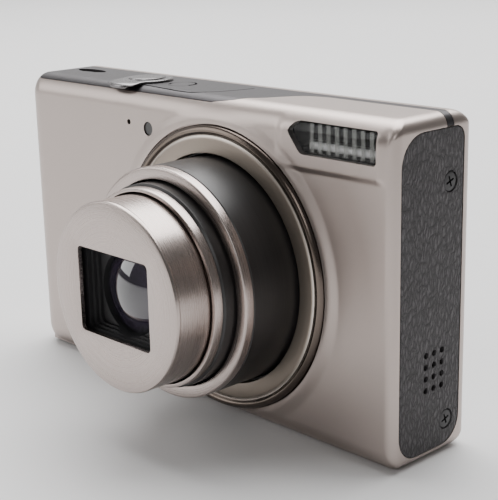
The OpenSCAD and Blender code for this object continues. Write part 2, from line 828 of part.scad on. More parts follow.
module battery_door() {
    color("Tan") difference() {
        union() {
            intersection() {
                cover_shell();
                block([door_x0, door_y0, -2], [door_x1, door_hinge_y, 2.1]);
            }
            x_rod(door_hinge_y, knuckle_r, knuckle_r, door_x0, door_x1);
        }
        x_rod(door_hinge_y, knuckle_r, pin_r + pin_clear, door_x0 - 1, door_x1 + 1);
        block([latch_x - 0.2, latch_y - 1.3, -1], [latch_x + 4 + latch_travel, latch_y + 1.3, 2]);
    }
}

module battery_latch() {
    color("DimGray") {
        block([latch_x, latch_y - 1.1, 0.1], [latch_x + 3.8, latch_y + 1.1, wall + 0.2]);
        block([latch_x - 1, latch_y - 1.7, wall + 0.1], [door_x1 - 0.4, latch_y + 1.7, wall + 0.7]);
    }
}

module terminal_door() {
    color("Tan") difference() {
        union() {
            intersection() {
                cover_shell();
                block([x0 - 2, term_hinge_y, term_z0], [x0 + 2, term_y1, term_z1]);
            }
            z_rod(x0 + knuckle_r, term_hinge_y, knuckle_r, term_z0, term_z1);
        }
        z_rod(x0 + knuckle_r, term_hinge_y, pin_r + pin_clear, term_z0 - 1, term_z1 + 1);
    }
}

// ---- controls ----

// turned-down edge of the lever's tab, over an angle each side of the front
module lever_lip(half_angle, z_low) {
    translate([shutter_x, shutter_y, 0]) intersection() {
        difference() {
            z_rod(0, 0, 7.6, z_low, top_z + 0.5);
            z_rod(0, 0, 6.7, z_low - 1, top_z + 0.2);
        }
        translate([0, 0, z_low - 1]) linear_extrude(5)
            polygon([[0, 0], [-12 * sin(half_angle), -12 * cos(half_angle)], [12 * sin(half_angle), -12 * cos(half_angle)]]);
    }
}

module zoom_lever() {
    color("Silver") difference() {
        union() {
            z_rod(shutter_x, shutter_y, lever_r, top_z + 0.1, top_z + 0.5);
            z_rod(shutter_x, shutter_y, hub_r, plate_z - 1, top_z + 0.2);
            z_rod(shutter_x, shutter_y, hub_r + 0.5, plate_z - 1.3, plate_z - 0.5);
            translate([shutter_x, shutter_y, top_z + 0.1]) linear_extrude(0.4)
                polygon([[-lever_r, -1], [-4.6, -5.6], [-3.2, -7.1], [3.2, -7.1], [4.6, -5.6], [lever_r, -1]]);
            lever_lip(28, top_z - 0.25);
            lever_lip(15, top_z - 0.8);
        }
        z_rod(shutter_x, shutter_y, shutter_r + button_clear, plate_z - 2, top_z + 3);
    }
}

module shutter_button() {
    color("Silver") {
        z_rod(shutter_x, shutter_y, shutter_r, top_z - 0.6, top_z + 0.75);
        z_rod(shutter_x, shutter_y, 1.2, plate_z - 2.4, top_z - 0.5);
    }
}

module power_button() {
    color("Silver") {
        z_rod(power_x, power_y, power_r, plate_z, top_z + 0.1);
        z_rod(power_x, power_y, power_r + 0.6, plate_z - 0.8, plate_z - 0.15);
        z_rod(power_x, power_y, power_r, plate_z - 0.3, plate_z + 0.1);
    }
}

module mode_switch() {
    color("Black") {
        block([switch_x - 4.2, switch_y - 1.4, plate_z - 0.3], [switch_x + 4.2 - switch_travel, switch_y + 1.4, top_z - 0.2]);
        block([switch_x - 5.4, switch_y - 2.4, plate_z - 0.9], [switch_x + 5.4 - switch_travel, switch_y + 2.4, plate_z - 0.15]);
    }
}

// round rear button with a flange that the cover holds back
module round_button(x, z, r) {
    y_rod(x, z, r, yr - 2.4, yr + 0.2);
    y_rod(x, z, r + 0.6, yr - 2.4, yr - wall - 0.15);
}

module play_button() {
    color("DimGray") round_button(play_x, upper_z, small_button_r);
}

module movie_button() {
    color("DimGray") round_button(movie_x, upper_z, small_button_r);
}

module menu_button() {
    color("DimGray") round_button(pad_x, lower_z, small_button_r);
}

module four_way_pad() {
    color("Gray") difference() {
        union() {
            y_rod(pad_x, pad_z, pad_r, yr - 2.4, yr + 0.3);
            y_rod(pad_x, pad_z, pad_r + 0.6, yr - 2.4, yr - wall - 0.15);
        }
        y_rod(pad_x, pad_z, set_r + button_clear, yr - 4, yr + 2);
    }
}

module set_button() {
    color("DimGray") y_rod(pad_x, pad_z, set_r, yr - 2.4, yr + 0.1);
}

front_cover();
rear_cover();
top_cover();
side_panel();
side_screws();
lens_ring();
flash_window();
flash_reflector();
flash_tube();
flash_capacitor();
af_lamp();
screen_glass();
lcd_panel();
chassis();
main_board();
button_board();
battery_bay();
battery();
memory_card();
tripod_socket();
terminal_sockets();
strap_bar();
speaker();
bottom_screws();
door_pins();
fixed_barrel();
lens_base();
image_sensor();
zoom_motor();
battery_door();
battery_latch();
terminal_door();
zoom_lever();
shutter_button();
power_button();
mode_switch();
play_button();
movie_button();
menu_button();
four_way_pad();
set_button();
barrel_1();
ring_1();
cam_ring();
barrel_2();
ring_2();
barrel_3();
front_cap();
lens_frame();
front_lens();
barrier_upper_front();
barrier_upper_rear();
barrier_lower_front();
barrier_lower_rear();
zoom_lens();
focus_lens();
drive_ring();
zoom_gear();
motor_pinion();
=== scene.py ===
"""Looks for the compact camera: covers, lens barrels, flash, grained panel, controls and studio."""

import json
import math
import bpy
import bmesh
from mathutils import Matrix, Vector


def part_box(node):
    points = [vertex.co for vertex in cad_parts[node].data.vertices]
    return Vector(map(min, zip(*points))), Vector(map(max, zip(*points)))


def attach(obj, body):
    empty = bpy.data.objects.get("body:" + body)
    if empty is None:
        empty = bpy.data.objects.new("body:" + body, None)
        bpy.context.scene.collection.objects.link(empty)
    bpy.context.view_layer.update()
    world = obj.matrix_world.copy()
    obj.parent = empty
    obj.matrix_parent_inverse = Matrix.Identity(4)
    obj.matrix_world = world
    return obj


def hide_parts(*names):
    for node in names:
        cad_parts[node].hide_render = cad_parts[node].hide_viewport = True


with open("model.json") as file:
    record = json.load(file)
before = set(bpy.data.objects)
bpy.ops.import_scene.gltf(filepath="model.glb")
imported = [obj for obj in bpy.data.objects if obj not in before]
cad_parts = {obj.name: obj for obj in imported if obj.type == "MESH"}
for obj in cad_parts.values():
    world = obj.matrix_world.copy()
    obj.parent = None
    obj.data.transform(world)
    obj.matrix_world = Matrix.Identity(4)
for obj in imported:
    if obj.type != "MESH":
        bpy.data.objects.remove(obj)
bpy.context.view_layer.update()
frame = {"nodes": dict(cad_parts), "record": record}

MM = 0.001

# ---- sizes, in millimetres, that the covers share with the frame ----
def box_mm(node):
    low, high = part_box(node)
    return [v / MM for v in low], [v / MM for v in high]


FRONT_LOW, FRONT_HIGH = box_mm("front_cover")
CAP_LOW, CAP_HIGH = box_mm("front_cap")
X0, X1 = FRONT_LOW[0], FRONT_HIGH[0]
YF, YR = -9.9, 9.9  # front and back faces of the body
TOP = FRONT_HIGH[2]
LX = (CAP_LOW[0] + CAP_HIGH[0]) / 2
LZ = (CAP_LOW[2] + CAP_HIGH[2]) / 2
WALL = 0.8
GAP = 0.12  # between the top plate and the covers
SEAM_Y = 1.5  # between the front and rear covers
CAP_R, RING_2_R, BARREL_2_R, BARREL_1_R = 16.35, 17.4, 17.8, 20.35
TRIM_R, TRIM_BORE = 25.85, 20.9
MOUTH_W, MOUTH_H = 9.3, 7.5  # half sizes of the lens mouth
STRIP_LOW, STRIP_HIGH = 2.8, 4.4  # the top plate's narrow strip, front to back


# ---- meshes ----
def mesh_object(name, points, faces):
    mesh = bpy.data.meshes.new(name)
    mesh.from_pydata([(x * MM, y * MM, z * MM) for x, y, z in points], [], faces)
    mesh.validate()
    obj = bpy.data.objects.new(name, mesh)
    bpy.context.collection.objects.link(obj)
    return obj


def tidy(obj, angle=35.0, merge=0.0004):
    """Merges doubles, points the faces outwards and shades the soft parts smooth."""
    work = bmesh.new()
    work.from_mesh(obj.data)
    bmesh.ops.remove_doubles(work, verts=work.verts, dist=merge * MM)
    bmesh.ops.recalc_face_normals(work, faces=work.faces)
    work.to_mesh(obj.data)
    work.free()
    soften(obj, angle)
    return obj


def soften(obj, angle=35.0):
    for face in obj.data.polygons:
        face.use_smooth = True
    obj.data.set_sharp_from_angle(angle=math.radians(angle))
    return obj


def apply_modifiers(obj):
    graph = bpy.context.evaluated_depsgraph_get()
    graph.update()
    fresh = bpy.data.meshes.new_from_object(obj.evaluated_get(graph))
    obj.modifiers.clear()
    obj.data = fresh
    return obj


def boolean(obj, cutter, kind="DIFFERENCE"):
    cut = obj.modifiers.new("cut", "BOOLEAN")
    cut.operation = kind
    cut.solver = "MANIFOLD"
    cut.object = cutter
    apply_modifiers(obj)
    bpy.data.objects.remove(cutter, do_unlink=True)
    return obj


def bevel(obj, width, segments=2, angle=40.0):
    edge = obj.modifiers.new("edge", "BEVEL")
    edge.width = width * MM
    edge.segments = segments
    edge.limit_method = "ANGLE"
    edge.angle_limit = math.radians(angle)
    edge.use_clamp_overlap = True
    return apply_modifiers(obj)


def lathe(name, profile, x=None, z=None, sides=192, axis="Y", y=0.0):
    """A closed profile of (radius, place along the axis), turned about an axis along X, Y or Z."""
    x = LX if x is None else x
    z = LZ if z is None else z
    points, faces = [], []
    count = len(profile)
    for i in range(sides):
        a = 2 * math.pi * i / sides
        for r, s in profile:
            if axis == "Y":
                points.append((x + r * math.cos(a), s, z + r * math.sin(a)))
            elif axis == "X":
                points.append((s, y + r * math.cos(a), z + r * math.sin(a)))
            else:
                points.append((x + r * math.cos(a), y + r * math.sin(a), s))
    for i in range(sides):
        j = (i + 1) % sides
        for k in range(count):
            n = (k + 1) % count
            faces.append((i * count + k, j * count + k, j * count + n, i * count + n))
    return tidy(mesh_object(name, points, faces))


def prism(name, outline, low, high, axis="Y"):
    """An outline extruded along an axis. Y takes (x, z), X takes (y, z) and Z takes (x, y)."""
    place = {"Y": lambda a, b, s: (a, s, b), "X": lambda a, b, s: (s, a, b), "Z": lambda a, b, s: (a, b, s)}[axis]
    count = len(outline)
    points = [place(a, b, low) for a, b in outline] + [place(a, b, high) for a, b in outline]
    faces = [tuple(range(count)), tuple(range(2 * count - 1, count - 1, -1))]
    faces += [(k, (k + 1) % count, count + (k + 1) % count, count + k) for k in range(count)]
    obj = mesh_object(name, points, faces)
    work = bmesh.new()
    work.from_mesh(obj.data)
    bmesh.ops.recalc_face_normals(work, faces=work.faces)
    work.to_mesh(obj.data)
    work.free()
    return obj


def slab(name, low, high):
    base = [(low[0], low[1]), (high[0], low[1]), (high[0], high[1]), (low[0], high[1])]
    return prism(name, base, low[2], high[2], "Z")


def disc(x, z, r, sides=64):
    return [(x + r * math.cos(2 * math.pi * i / sides), z + r * math.sin(2 * math.pi * i / sides))
            for i in range(sides)]


def rounded(a0, a1, b0, b1, radii, steps=10):
    """Outline of a rectangle with radii at lower left, lower right, upper right and upper left."""
    corners = [(a0, b0, 1, 1, 180), (a1, b0, -1, 1, 270), (a1, b1, -1, -1, 0), (a0, b1, 1, -1, 90)]
    out = []
    for (a, b, sa, sb, start), r in zip(corners, radii):
        for i in range(steps + 1):
            t = math.radians(start + 90 * i / steps)
            out.append((a + sa * r + r * math.cos(t), b + sb * r + r * math.sin(t)))
    return out


def smooth(t):
    t = min(1.0, max(0.0, t))
    return t * t * (3 - 2 * t)


# ---- shader nodes ----
class Value:
    """A socket that Python's operators turn into Math nodes."""

    def __init__(self, maker, socket):
        self.maker, self.socket = maker, socket

    def _math(self, kind, *values):
        return self.maker.node("ShaderNodeMath", {"operation": kind}, dict(enumerate(values)))

    def __add__(self, other):
        return self._math("ADD", self, other)

    __radd__ = __add__

    def __sub__(self, other):
        return self._math("SUBTRACT", self, other)

    def __rsub__(self, other):
        return self._math("SUBTRACT", other, self)

    def __mul__(self, other):
        return self._math("MULTIPLY", self, other)

    __rmul__ = __mul__

    def __truediv__(self, other):
        return self._math("DIVIDE", self, other)

    def __rtruediv__(self, other):
        return self._math("DIVIDE", other, self)

    def __pow__(self, other):
        return self._math("POWER", self, other)

    def root(self):
        return self._math("SQRT", self)


class Finish:
    """One material. node() makes any node from its type, its settings and its sockets."""

    def __init__(self, name, **constants):
        self.material = bpy.data.materials.new(name)
        self.material.use_nodes = True
        self.tree = self.material.node_tree
        self.shader = self.tree.nodes["Principled BSDF"]
        for key, value in constants.items():
            self.shader.inputs[key.replace("_", " ")].default_value = value
        self.where = self.node("ShaderNodeTexCoord", {}, {}, "Object")

    def node(self, kind, settings, sockets, output=0):
        made = self.tree.nodes.new(kind)
        for key, value in settings.items():
            if key == "stops":
                ramp = made.color_ramp
                while len(ramp.elements) < len(value):
                    ramp.elements.new(0.5)
                for element, (place, colour) in zip(ramp.elements, value):
                    element.position = place
                    element.color = colour if isinstance(colour, tuple) else (colour, colour, colour, 1)
            else:
                setattr(made, key, value)
        for key, value in sockets.items():
            if isinstance(value, Value):
                self.tree.links.new(value.socket, made.inputs[key])
            else:
                made.inputs[key].default_value = value
        return Value(self, made.outputs[output])

    def split(self, vector):
        first = self.node("ShaderNodeSeparateXYZ", {}, {0: vector})
        outs = first.socket.node.outputs
        return [Value(self, outs[i]) for i in range(3)]

    def join(self, x, y, z):
        return self.node("ShaderNodeCombineXYZ", {}, {0: x, 1: y, 2: z})

    def noise(self, scale, detail=3.0, rough=0.5, vector=None, output="Fac"):
        return self.node("ShaderNodeTexNoise", {}, {"Vector": vector or self.where, "Scale": scale, "Detail": detail,
                                                    "Roughness": rough}, output)

    def cells(self, scale, vector=None, feature="F1", output="Distance", jitter=1.0):
        return self.node("ShaderNodeTexVoronoi", {"feature": feature},
                         {"Vector": vector or self.where, "Scale": scale, "Randomness": jitter}, output)

    def ramp(self, value, stops):
        return self.node("ShaderNodeValToRGB", {"stops": stops}, {0: value}, "Color")

    def blend(self, factor, first, second):
        made = self.tree.nodes.new("ShaderNodeMix")
        made.data_type = "RGBA"
        for index, value in ((0, factor), (6, first), (7, second)):
            if isinstance(value, Value):
                self.tree.links.new(value.socket, made.inputs[index])
            else:
                made.inputs[index].default_value = value
        return Value(self, made.outputs[2])

    def bump(self, height, strength, distance, under=None):
        sockets = {"Height": height, "Strength": strength, "Distance": distance}
        if under is not None:
            sockets["Normal"] = under
        return self.node("ShaderNodeBump", {}, sockets, "Normal")

    def set(self, **sockets):
        for key, value in sockets.items():
            self.tree.links.new(value.socket, self.shader.inputs[key.replace("_", " ")])
        return self.material


def around_axis(finish, x=LX, z=LZ):
    """Distance from an axis along Y, in millimetres, and the turn round it."""
    px, py, pz = finish.split(finish.where)
    dx, dz = (px - x * MM) / MM, (pz - z * MM) / MM
    radius = (dx * dx + dz * dz).root()
    turn = finish.node("ShaderNodeMath", {"operation": "ARCTAN2"}, {0: dz, 1: dx})
    return radius, turn, py / MM


def blasted_metal(name, colour, rough, metallic=1.0, grain=0.5):
    f = Finish(name, Metallic=metallic, Specular_IOR_Level=0.5)
    fine = f.noise(9000, 2, 0.6)
    cloud = f.noise(45, 3, 0.5)
    tone = f.ramp(cloud, [(0.3, tuple(c * 0.965 for c in colour) + (1,)), (0.7, tuple(colour) + (1,))])
    speck = f.blend(fine * 0.10, tone, tuple(min(1, c * 1.25) for c in colour) + (1,))
    return f.set(Base_Color=speck, Roughness=fine * 0.08 + cloud * 0.05 + (rough - 0.065),
                 Normal=f.bump(fine, grain, 0.00002))


def turned_metal(name, colour, rough, depth=0.35, x=LX, z=LZ):
    """Metal faced in a lathe: fine grooves round the axis, so that light fans out from it."""
    f = Finish(name, Metallic=1.0)
    radius, turn, along = around_axis(f, x, z)
    groove = f.noise(1.0, 4, 0.75, f.join(radius * 9.0, turn * 0.35, along * 9.0))
    coarse = f.noise(1.0, 2, 0.5, f.join(radius * 2.2, turn * 0.6, along * 2.2))
    tone = f.ramp(groove * 0.7 + coarse * 0.3, [(0.32, tuple(c * 0.94 for c in colour) + (1,)),
                                                (0.68, tuple(c * 1.03 for c in colour) + (1,))])
    return f.set(Base_Color=tone, Roughness=groove * 0.14 + (rough - 0.07),
                 Normal=f.bump(groove, depth, 0.00006))


def trim_metal_painted_light(name):
    """Trim ring: pale turned cone inside, a painted highlight line on the ridge, and a polished bead outside painted
    dark as reflection, lighter on its crest as painted highlight.
    """
    f = Finish(name, Metallic=1.0)
    radius, turn, along = around_axis(f)
    groove = f.noise(1.0, 4, 0.75, f.join(radius * 9.0, turn * 0.35, along * 9.0))
    band = radius / 26.0
    # painted light: darker towards the groove, a bright highlight line on the ridge, and the bead dark on its flanks
    # and lighter on its crest
    tone = f.ramp(band, [(0.80, (0.34, 0.295, 0.25, 1)), (0.905, (0.30, 0.255, 0.215, 1)),
                         (0.918, (0.62, 0.56, 0.50, 1)), (0.930, (0.07, 0.055, 0.048, 1)),
                         (0.95, (0.16, 0.13, 0.11, 1)), (1.0, (0.09, 0.072, 0.063, 1))])
    gloss = f.ramp(band, [(0.90, 0.46), (0.93, 0.20)])
    return f.set(Base_Color=tone, Roughness=groove * 0.10 + gloss - 0.05, Normal=f.bump(groove, 0.25, 0.00005))


def moulded(name, colour, rough, grain=0.25, scale=5000, coat=0.0):
    f = Finish(name, Metallic=0.0, Coat_Weight=coat, Coat_Roughness=0.12)
    fine = f.noise(scale, 2, 0.55)
    cloud = f.noise(80, 2, 0.5)
    tone = f.ramp(cloud, [(0.3, tuple(c * 0.85 for c in colour) + (1,)), (0.7, tuple(colour) + (1,))])
    return f.set(Base_Color=tone, Roughness=fine * 0.1 + cloud * 0.06 + (rough - 0.08),
                 Normal=f.bump(fine, grain, 0.00003))


def black_barrel(name):
    f = Finish(name, Metallic=0.0, Specular_IOR_Level=0.5)
    radius, turn, along = around_axis(f)
    lines = f.noise(1.0, 3, 0.7, f.join(along * 6.0, turn * 0.8, radius * 0.5))
    dust = f.noise(2600, 2, 0.5)
    tone = f.ramp(lines, [(0.3, (0.011, 0.010, 0.010, 1)), (0.7, (0.021, 0.019, 0.019, 1))])
    return f.set(Base_Color=tone, Roughness=lines * 0.14 + dust * 0.06 + 0.26,
                 Normal=f.bump(lines + dust * 0.3, 0.16, 0.00004))


def leather_grain_painted_light(name):
    """Moulded leather grain: upright pebbles with creases between them; the creases are painted dark as shade and the
    pebble tops painted lighter as highlight.
    """
    f = Finish(name, Metallic=0.0, Specular_IOR_Level=0.4)
    warp = f.noise(700, 2, 0.5, output="Color")
    bend = (0.0011, 0.0011, 0.0011)
    bent = f.node("ShaderNodeVectorMath", {"operation": "MULTIPLY_ADD"}, {0: warp, 1: bend, 2: f.where})
    bent = f.node("ShaderNodeMapping", {}, {"Vector": bent, "Scale": (1.0, 1.75, 0.60)})
    edge = f.cells(900, bent, "DISTANCE_TO_EDGE")
    large = f.cells(560, bent, "SMOOTH_F1")
    pebble = f.ramp(edge, [(0.0, 0.0), (0.3, 0.6), (0.7, 1.0)])
    wrinkle = f.noise(2600, 3, 0.6, bent)
    fine = f.noise(9000, 2, 0.6)
    # painted shade in the creases and painted highlight on the pebble tops
    tone = f.ramp(edge + wrinkle * 0.1, [(0.03, (0.030, 0.028, 0.029, 1)), (0.25, (0.058, 0.053, 0.056, 1)),
                                         (0.6, (0.080, 0.074, 0.078, 1))])
    low = f.bump(fine * 0.4 + wrinkle, 0.5, 0.00008)
    return f.set(Base_Color=tone, Roughness=0.62 - edge * 0.3 + fine * 0.06,
                 Normal=f.bump(pebble - large * 0.6, 1.0, 0.00026, low))


def glass_like(name, colour, rough, alpha, coat=1.0):
    f = Finish(name, Metallic=0.0, Coat_Weight=coat, Coat_Roughness=0.02, IOR=1.5)
    smear = f.noise(140, 2, 0.5)
    f.shader.inputs["Base Color"].default_value = tuple(colour) + (1,)
    f.shader.inputs["Alpha"].default_value = alpha
    return f.set(Roughness=smear * 0.03 + rough)


def coated_glass(name):
    """Front lens glass: near black in the middle, with violet and green coatings at the edge."""
    f = Finish(name, Metallic=0.0, Coat_Weight=1.0, Coat_Roughness=0.01, IOR=1.6)
    radius = around_axis(f)[0]
    tone = f.ramp(radius / 7.5, [(0.0, (0.010, 0.010, 0.013, 1)), (0.5, (0.016, 0.013, 0.022, 1)),
                                 (0.8, (0.035, 0.026, 0.045, 1)), (1.0, (0.012, 0.016, 0.014, 1))])
    return f.set(Base_Color=tone, Roughness=f.noise(300, 2, 0.5) * 0.03 + 0.03)


CHAMPAGNE = (0.440, 0.378, 0.348)
SHELL = blasted_metal("champagne blasted shell", CHAMPAGNE, 0.36)
GUNMETAL = blasted_metal("gunmetal top plate", (0.066, 0.062, 0.065), 0.40)
TURNED = turned_metal("turned champagne", (0.445, 0.383, 0.356), 0.27, 0.2)
RING_METAL_PAINTED_LIGHT = trim_metal_painted_light("polished trim ring with painted highlight and shade")
BARREL = black_barrel("satin black barrel")
GRAIN_PAINTED_LIGHT = leather_grain_painted_light("leather grain panel with painted crease shade")
BLACK = moulded("black moulding", (0.016, 0.016, 0.017), 0.48)
# black plastic tray, made near black with little specular as painted shade of the flash recess
BLACK_TRAY_PAINTED_SHADE = moulded("black tray with painted recess shade", (0.002, 0.002, 0.002), 0.85)
BLACK_TRAY_PAINTED_SHADE.node_tree.nodes["Principled BSDF"].inputs["Specular IOR Level"].default_value = 0.1
SCREW = blasted_metal("black oxide screw", (0.05, 0.049, 0.05), 0.38, 0.9)
BRIGHT = blasted_metal("bright steel", (0.70, 0.70, 0.71), 0.30)
CONTROL = blasted_metal("satin control metal", (0.22, 0.21, 0.212), 0.27, 1.0, 0.15)
CONTROL_DARK = moulded("dark control plastic", (0.11, 0.108, 0.11), 0.42)
BOARD = moulded("solder mask", (0.015, 0.085, 0.04), 0.35, 0.3, 1500, 0.4)
SCREEN = glass_like("screen cover glass", (0.006, 0.006, 0.007), 0.04, 1.0)
WINDOW = glass_like("clear flash window", (0.05, 0.05, 0.05), 0.04, 0.10)
# flash tube painted near-opaque white as a painted highlight of the lit tube
TUBE_PAINTED_BRIGHT = glass_like("flash tube glass painted bright", (0.95, 0.96, 0.95), 0.15, 0.95)
LAMP = glass_like("smoked lamp lens", (0.020, 0.018, 0.017), 0.3, 1.0, 0.15)
RIB_GLASS = glass_like("ribbed window glass", (0.20, 0.21, 0.19), 0.10, 0.42)
REFLECTOR = blasted_metal("mirror reflector", (0.30, 0.31, 0.29), 0.2, 1.0, 0.1)
LENS_GLASS = coated_glass("coated lens glass")
BRASS = blasted_metal("cut brass", (0.72, 0.55, 0.25), 0.3)
ACETAL = moulded("natural acetal", (0.62, 0.61, 0.56), 0.4)

NODE_FINISH = {
    "shell": SHELL, "top_plate": GUNMETAL, "grain_panel": GRAIN_PAINTED_LIGHT, "screw_black": SCREW, "polished_ring": RING_METAL_PAINTED_LIGHT,
    "turned_metal": TURNED, "barrel_black": BARREL, "clear_window": WINDOW, "reflector": REFLECTOR, "lamp_lens": LAMP,
    "screen": SCREEN, "lcd": SCREEN, "sheet_steel": BRIGHT, "circuit_board": BOARD, "black_plastic": BLACK,
    "battery_case": BLACK, "card_case": CONTROL_DARK, "bright_metal": BRIGHT, "control_metal": CONTROL,
    "control_plastic": CONTROL_DARK, "lens_glass": LENS_GLASS, "blade_black": BARREL, "gear_plastic": ACETAL,
    "gear_brass": BRASS}


def finish_piece(obj, material, body, slot, *nodes):
    obj.data.materials.clear()
    obj.data.materials.append(material)
    for face in obj.data.polygons:
        face.material_index = 0
    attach(obj, body)
    if nodes:
        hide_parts(*nodes)
    return obj


# ---- the body's form: rings of rounded rectangles from the middle of the back to the lens ----
FRONT_FILLET = {"left": 6.0, "right": 1.9, "bottom": 3.6, "top": 4.0}
REAR_FILLET = {"left": 5.0, "right": 2.4, "bottom": 4.4, "top": 4.6}
OUTLINE_CORNERS = {"lower left": 5.0, "lower right": 2.4, "upper right": 2.4, "upper left": 5.0}
FLASH_LOW, FLASH_HIGH = box_mm("flash_window")


def front_rise(x, z):
    """How far the front stands proud: the collar round the lens ring and the step round the flash."""
    r = math.hypot(x - LX, z - LZ)
    collar = 0.34 * (1 - smooth((r - 26.5) / 2.4)) + 0.22 * (1 - smooth((r - 26.0) / 9.0))
    step = 0.36 * smooth((x - FLASH_LOW[0] + 3.4) / 2.2) * smooth((z - FLASH_LOW[2] + 3.2) / 1.2) \
        * smooth((FLASH_HIGH[0] + 2.0 - x) / 1.9) * smooth((TOP - 0.4 - z) / 2.4)
    return max(collar, 0) + step * (1 - 0.8 * smooth((29.5 - r) / 3.0))


def form_ring(inset, fillet, turn, spacing):
    """One ring at a turn of the fillet from the side (0) to the face (90 degrees)."""
    radius = {k: v - inset for k, v in fillet.items()}
    sunk = {k: inset + r * (1 - math.cos(turn)) for k, r in radius.items()}
    depth = {k: r * (1 - math.sin(turn)) for k, r in radius.items()}
    x0, x1, z0, z1 = X0 + sunk["left"], X1 - sunk["right"], sunk["bottom"], TOP - sunk["top"]
    corners = (("upper right", x1, z1, -1, -1, 0, "right", "top"),
               ("upper left", x0, z1, 1, -1, 90, "top", "left"),
               ("lower left", x0, z0, 1, 1, 180, "left", "bottom"),
               ("lower right", x1, z0, -1, 1, 270, "bottom", "right"))
    arcs = []
    for name, cx, cz, sx, sz, start, first, second in corners:
        r = max(OUTLINE_CORNERS[name] - inset - 0.45 * (sunk[first] + sunk[second] - 2 * inset), 1.0 - 0.5 * inset)
        arc = []
        for i in range(17):
            a = math.radians(90 * i / 16)
            t = math.radians(start) + a
            share = math.sin(a) ** 2
            arc.append((cx + sx * r + r * math.cos(t), cz + sz * r + r * math.sin(t),
                        depth[first] * (1 - share) + depth[second] * share))
        arcs.append(arc)
    ring = []
    for k, arc in enumerate(arcs):
        ring += arc
        after = arcs[(k + 1) % 4][0]
        count = int((TOP if k % 2 else X1 - X0) / spacing)
        ring += [tuple(arc[-1][j] + (after[j] - arc[-1][j]) * i / count for j in range(3)) for i in range(1, count)]
    return ring


def body_form(name, inset, spacing, rings, rise):
    """A closed form of the body, let in by an inset, from the middle of the back to the lens axis."""
    fillet_steps = 12
    back, front = YR - inset, YF + inset
    layers = []
    edge = form_ring(inset, REAR_FILLET, math.pi / 2, spacing)
    middle_x, middle_z = (X0 + X1) / 2, TOP / 2
    for i in range(1, 10):
        t = i / 10
        layers.append([(middle_x + (x - middle_x) * t, back, middle_z + (z - middle_z) * t) for x, z, _ in edge])
    for i in range(fillet_steps, -1, -1):
        turn = math.pi / 2 * i / fillet_steps
        layers.append([(x, back - d, z) for x, z, d in form_ring(inset, REAR_FILLET, turn, spacing)])
    for i in range(fillet_steps + 1):
        turn = math.pi / 2 * i / fillet_steps
        layers.append([(x, front + d, z) for x, z, d in form_ring(inset, FRONT_FILLET, turn, spacing)])
    edge = form_ring(inset, FRONT_FILLET, math.pi / 2, spacing)
    for i in range(1, rings + 1):
        t = i / rings
        layer = []
        for x, z, _ in edge:
            a = math.atan2(z - LZ, x - LX)
            layer.append((x + (LX + 20 * math.cos(a) - x) * t, front, z + (LZ + 20 * math.sin(a) - z) * t))
        layers.append(layer)
    size = len(edge)
    points = []
    for layer in layers:
        for x, y, z in layer:
            if rise and y < front + 4:
                y -= front_rise(x, z) * smooth((front + 1.8 - y) / 1.8)
            points.append((x, y, z))
    points.append((middle_x, back, middle_z))
    points.append((LX, front - (front_rise(LX, LZ) if rise else 0), LZ))
    faces = []
    for i in range(len(layers) - 1):
        for k in range(size):
            n = (k + 1) % size
            faces.append((i * size + k, i * size + n, (i + 1) * size + n, (i + 1) * size + k))
    last = (len(layers) - 1) * size
    for k in range(size):
        n = (k + 1) % size
        faces.append((len(points) - 2, n, k))
        faces.append((len(points) - 1, last + k, last + n))
    return tidy(mesh_object(name, points, faces))


def between(p0, p1, p2, p3, t):
    """A place between p1 and p2 on a soft curve that also heads for p0 and p3."""
    return tuple(0.5 * (2 * p1[j] + (p2[j] - p0[j]) * t
                        + (2 * p0[j] - 5 * p1[j] + 4 * p2[j] - p3[j]) * t * t
                        + (3 * p1[j] - p0[j] - 3 * p2[j] + p3[j]) * t ** 3) for j in (0, 1))


def sweep_outline(grow):
    """Plan of the top plate: it ends in a long sweep that runs into the narrow strip at the back."""
    end = 18.0
    curve = [(end - 6, YF - 5), (end - 6, YF), (end - 4.8, YF + 1.3), (end - 2, YF + 1.9), (end + 0.6, YF + 2.7),
             (end + 3.5, YF + 4.9), (end + 5.5, YF + 8.0), (end + 8.0, YF + 11.2), (end + 12, 2.6), (end + 16, 2.8)]
    fine = []
    for k in range(1, len(curve) - 1):
        p0, p1, p2 = curve[k - 1], curve[k], curve[k + 1]
        p3 = curve[min(k + 2, len(curve) - 1)]
        fine += [between(p0, p1, p2, p3, i / 8) for i in range(8)]
    grown = [(x + grow * 0.9, y - grow * 0.6) for x, y in fine]
    start = [(X0 - 5, YF - 5), (end - 6 + grow, YF - 5)]
    return start + grown + [(end + 16, STRIP_LOW - grow), (end + 16, STRIP_HIGH + grow), (X0 - 5, STRIP_HIGH + grow)]


def top_zone(grow):
    zone = prism("zone", sweep_outline(grow), TOP - 1 - grow, TOP + 5, "Z")
    strip = slab("strip", (30, STRIP_LOW - grow, TOP - 2.2 - grow), (X1 + 5, STRIP_HIGH + grow, TOP + 5))
    return boolean(zone, strip, "UNION")


def front_zone(shift):
    zone = slab("zone", (X0 - 5, YF - 5, -5), (X1 + 5, SEAM_Y + shift, TOP + 5))
    more = slab("more", (16, YF - 4, TOP - 2.5 - shift), (X1 + 6, 2.9, TOP + 6))
    return boolean(zone, more, "UNION")


def copy_of(obj, name):
    twin = bpy.data.objects.new(name, obj.data.copy())
    bpy.context.collection.objects.link(twin)
    return twin


